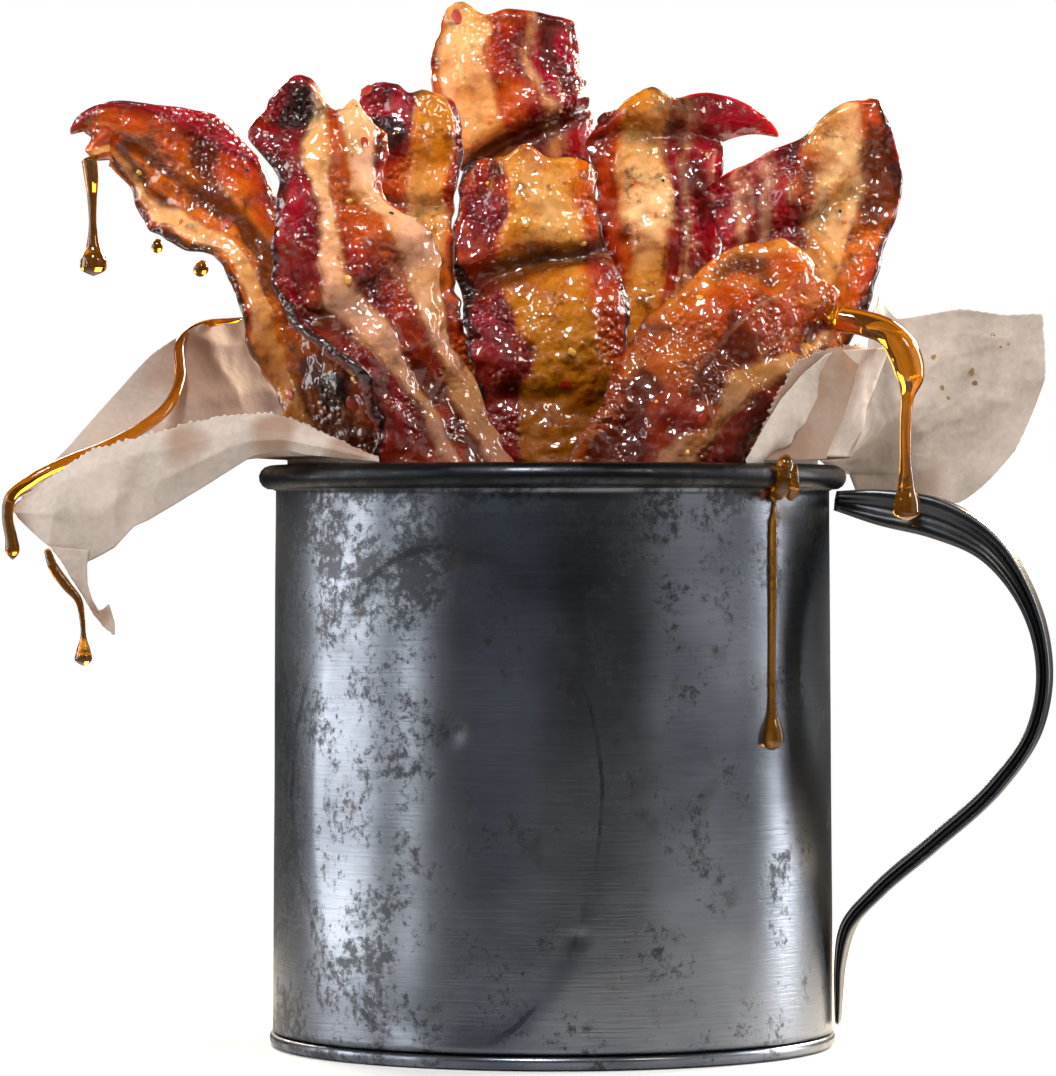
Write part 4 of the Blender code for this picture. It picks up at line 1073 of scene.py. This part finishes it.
syrup = amber_syrup("clear_amber_syrup", "#D2861C")
thin_syrup = amber_syrup("thin_clear_syrup", "#FFDC98")
for name, run in RUNS.items():
    steps = max(40, 10 * len(run))
    line = spline(run, np.linspace(0, 1, steps))
    t = np.gradient(line[:, :3], axis=0)
    t /= np.linalg.norm(t, axis=1, keepdims=True)
    aside = np.cross(t, (0.31, -0.9, 0.3))
    aside /= np.linalg.norm(aside, axis=1, keepdims=True)
    over = np.cross(t, aside)
    a = np.linspace(0, 2 * math.pi, 25)
    r = np.maximum(line[:, 3], 0.05)
    ends = np.minimum(np.arange(steps) / 3.0, np.arange(steps)[::-1] / 3.0)
    r = r * np.sqrt(1 - (1 - np.minimum(ends, 1)) ** 2)
    tube = line[:, None, :3] + r[:, None, None] * (
        aside[:, None] * np.cos(a)[None, :, None] + over[:, None] * np.sin(a)[None, :, None])
    join_in(skin(name, tube, weld=True), syrup, "cooked_bacon")

# ---------------------------------------------------------------- toppings
# What was scattered on the glaze before it set: red chilli flakes, yellow
# nuggets and cracked black pepper. They are stuck in the glaze.
rng = np.random.default_rng(7)


def stuck_on(count):
    """Random places on the fronts and backs of the strips above the rim."""
    places = []
    names = list(rashers)
    while len(places) < count:
        points, normal, front = rashers[names[rng.integers(len(names))]]
        i = int(rng.integers(int(STRIP_ROWS * 0.45), STRIP_ROWS - 4))
        j = int(rng.integers(0, STRIP_AROUND))
        if points[i, j, 2] < RIM_Z + 1 or abs(front[i, j]) < 0.35 or rng.random() > 1:
            continue
        a = points[i + 1, j] - points[i - 1, j]
        b = points[i, j + 1] - points[i, j - 1]
        n = np.cross(b, a)
        n = n / max(np.linalg.norm(n), 1e-9)
        if np.dot(n, normal[i, j]) < 0:
            n = -n
        places.append((points[i, j], n))
    return places


def scatter(name, places, size, flat, sides, material, sink):
    """Many small lumps joined in one piece: a turned, uneven icosphere each."""
    bpy.ops.object.select_all(action="DESELECT")
    bpy.ops.mesh.primitive_ico_sphere_add(subdivisions=sides, radius=1.0)
    seed = bpy.context.object
    base = np.empty(len(seed.data.vertices) * 3)
    seed.data.vertices.foreach_get("co", base)
    base = base.reshape(-1, 3)
    faces = [tuple(p.vertices) for p in seed.data.polygons]
    bpy.data.objects.remove(seed, do_unlink=True)
    points = []
    polygons = []
    for where, n in places:
        helper = np.array((0.2, 0.3, 0.9)) if abs(n[2]) < 0.8 else np.array((0.9, 0.3, 0.1))
        a = np.cross(n, helper)
        a = a / np.linalg.norm(a)
        b = np.cross(n, a)
        spin = rng.random() * 2 * math.pi
        a, b = a * math.cos(spin) + b * math.sin(spin), b * math.cos(spin) - a * math.sin(spin)
        r = size * (0.6 + 0.8 * rng.random())
        lump = base * (1 + 0.25 * (rng.random((len(base), 1)) - 0.5))
        stretch = 1 + 0.5 * rng.random()
        body = lump[:, :1] * a * r * stretch + lump[:, 1:2] * b * r + lump[:, 2:] * n * r * flat
        start = len(points) and len(np.concatenate(points))
        polygons += [tuple(start + k for k in face) for face in faces]
        points.append(where + n * (r * flat * sink) + body)
    mesh = bpy.data.meshes.new(name)
    mesh.from_pydata((np.concatenate(points) / 1000).tolist(), [], polygons)
    obj = bpy.data.objects.new(name, mesh)
    bpy.context.scene.collection.objects.link(obj)
    bpy.context.view_layer.objects.active = obj
    return join_in(obj, material, "cooked_bacon")


def seasoning(name, low, high, rough):
    """A dry speck wetted by the glaze."""
    mat, tree, shader = blank(name)
    at = add(tree, "TexCoord").outputs["Object"]
    vary = add(tree, "TexNoise", {"Vector": at, "Scale": 420.0, "Detail": 2.0})
    mix = add(tree, "Mix", {0: vary, 6: linear(low), 7: linear(high)}, data_type="RGBA")
    wear(tree, shader, Base_Color=mix)
    shader.inputs["Roughness"].default_value = rough
    shader.inputs["Coat Weight"].default_value = 0.8
    shader.inputs["Coat Roughness"].default_value = 0.08
    return mat


TOPPINGS = (  # how many, radius in mm, flatness, how far it stands out, and finish
    ("chilli_flakes", 40, 0.95, 0.16, 0.6, seasoning("dried_chilli", "#7A1206", "#B8380E", 0.4)),
    ("yellow_nuggets", 50, 0.5, 0.6, 0.3, seasoning("toasted_garlic", "#D08A2A", "#F0C060", 0.4)),
    ("cracked_pepper", 50, 0.28, 0.7, 0.3, seasoning("black_pepper", "#140C0A", "#3A2418", 0.5)),
    ("glaze_beads", 550, 0.32, 0.5, 0.1, thin_syrup))
for name, count, size, flat, sink, finish in TOPPINGS:
    places = stuck_on(count)
    scatter(name, places, size, flat, 2 if finish == thin_syrup else 1, finish, sink)

# small drops that have splashed on the right sheet of paper
splash = []
for i, j in rng.integers((66, 96), (112, 160), (14, 2)):
    n = np.cross(right[i + 1, j] - right[i - 1, j], right[i, j + 1] - right[i, j - 1])
    n = n / np.linalg.norm(n)
    splash.append((right[i, j], n if n[1] < 0 else -n))
scatter("syrup_splashes", splash, 0.42, 0.35, 2, thin_syrup, 0.1)

# ---------------------------------------------------------------- studio
# A pale floor that fades out at its edge, in a dim room. Soft boxes stand at
# both sides and behind the object, with weaker ones in front and above.
FLOOR_R = 0.36
bpy.ops.object.select_all(action="DESELECT")
bpy.ops.mesh.primitive_circle_add(vertices=96, radius=FLOOR_R, fill_type="NGON")
floor = bpy.context.object
floor.name = "floor"
floor_mat, tree, shader = blank("pale_floor")
shader.inputs["Base Color"].default_value = linear("#DADADA")
shader.inputs["Roughness"].default_value = 0.8
at = add(tree, "TexCoord").outputs["Object"]
far = add(tree, "VectorMath", {0: at}, operation="LENGTH")
fade = add(tree, "MapRange", {"Value": far, "From Min": 0.03, "From Max": FLOOR_R - 0.04,
    "To Min": 1.0, "To Max": 0.0}, interpolation_type="SMOOTHSTEP")
wear(tree, shader, Alpha=fade)
floor.data.materials.append(floor_mat)


def softbox(name, place, aim, wide, tall, power, tint):
    """A rectangular lamp that faces a point."""
    lamp = bpy.data.lights.new(name, "AREA")
    lamp.shape = "RECTANGLE"
    lamp.size = wide
    lamp.size_y = tall
    lamp.energy = power
    lamp.color = linear(tint)[:3]
    obj = bpy.data.objects.new(name, lamp)
    obj.location = place
    obj.rotation_euler = (Vector(aim) - Vector(place)).to_track_quat("-Z", "Y").to_euler()
    bpy.context.scene.collection.objects.link(obj)


LIGHTS = (  # place, aim, width and height in metres, watts, and tint
    ("key_left", (-0.70, 0.04, 0.20), (0, 0, 0.10), 0.40, 0.52, 4.0, "#FFFFFF"),
    ("strip_left", (-0.62, -0.36, 0.22), (0, 0, 0.10), 0.05, 0.45, 1.0, "#FFFFFF"),
    ("rim_right", (0.60, 0.16, 0.24), (0, 0, 0.10), 0.16, 0.50, 4.0, "#FFFFFF"),
    ("through_right", (0.34, 0.40, 0.36), (0.02, 0, 0.13), 0.18, 0.18, 9.0, "#FFE8C8"),
    ("through_left", (-0.26, 0.46, 0.34), (-0.02, 0, 0.13), 0.22, 0.22, 3.5, "#FFF0DC"),
    ("fill_right", (0.62, -0.34, 0.20), (0, 0, 0.10), 0.55, 0.50, 0.6, "#FFFFFF"),
    ("fill_front", (-0.40, -1.10, 0.30), (0, 0, 0.10), 0.60, 0.60, 0.34, "#C4D2EC"),
    ("warm_right", (0.34, -0.36, 0.42), (0.05, 0, 0.13), 0.12, 0.12, 0.9, "#FFEEDC"),
    ("top_front", (-0.12, -0.50, 0.62), (0, 0, 0.12), 0.13, 0.13, 5.0, "#FFFFFF"))
for light in LIGHTS:
    softbox(*light)

# the backdrop is white to the eye but lights the object only faintly
ROOM_GLOW = 0.035
world = bpy.data.worlds.new("studio")
bpy.context.scene.world = world
world.use_nodes = True
tree = world.node_tree
ground = tree.nodes["Background"]
seen = add(tree, "LightPath").outputs["Is Camera Ray"]
strength = add(tree, "MapRange", {"Value": seen, "To Min": ROOM_GLOW, "To Max": 1.0})
ground.inputs["Color"].default_value = (1, 1, 1, 1)
wear(tree, ground, Strength=strength)
bpy.context.scene.view_settings.view_transform = "Standard"

# a level camera, in mm: how far off it is, what width it sees there, and its place
EYE_FAR = 880.0
EYE_SEES = 178.74
EYE_X = -4.07
EYE_Z = 84.0
eye = bpy.data.cameras.new("camera")
eye.sensor_width = 36.0
eye.lens = eye.sensor_width * EYE_FAR / EYE_SEES
eye.clip_start = 0.05
eye.clip_end = 20.0
camera = bpy.data.objects.new("camera", eye)
camera.location = (EYE_X / 1000, -EYE_FAR / 1000, EYE_Z / 1000)
camera.rotation_euler = (math.pi / 2, 0, 0)
bpy.context.scene.collection.objects.link(camera)
bpy.context.scene.camera = camera
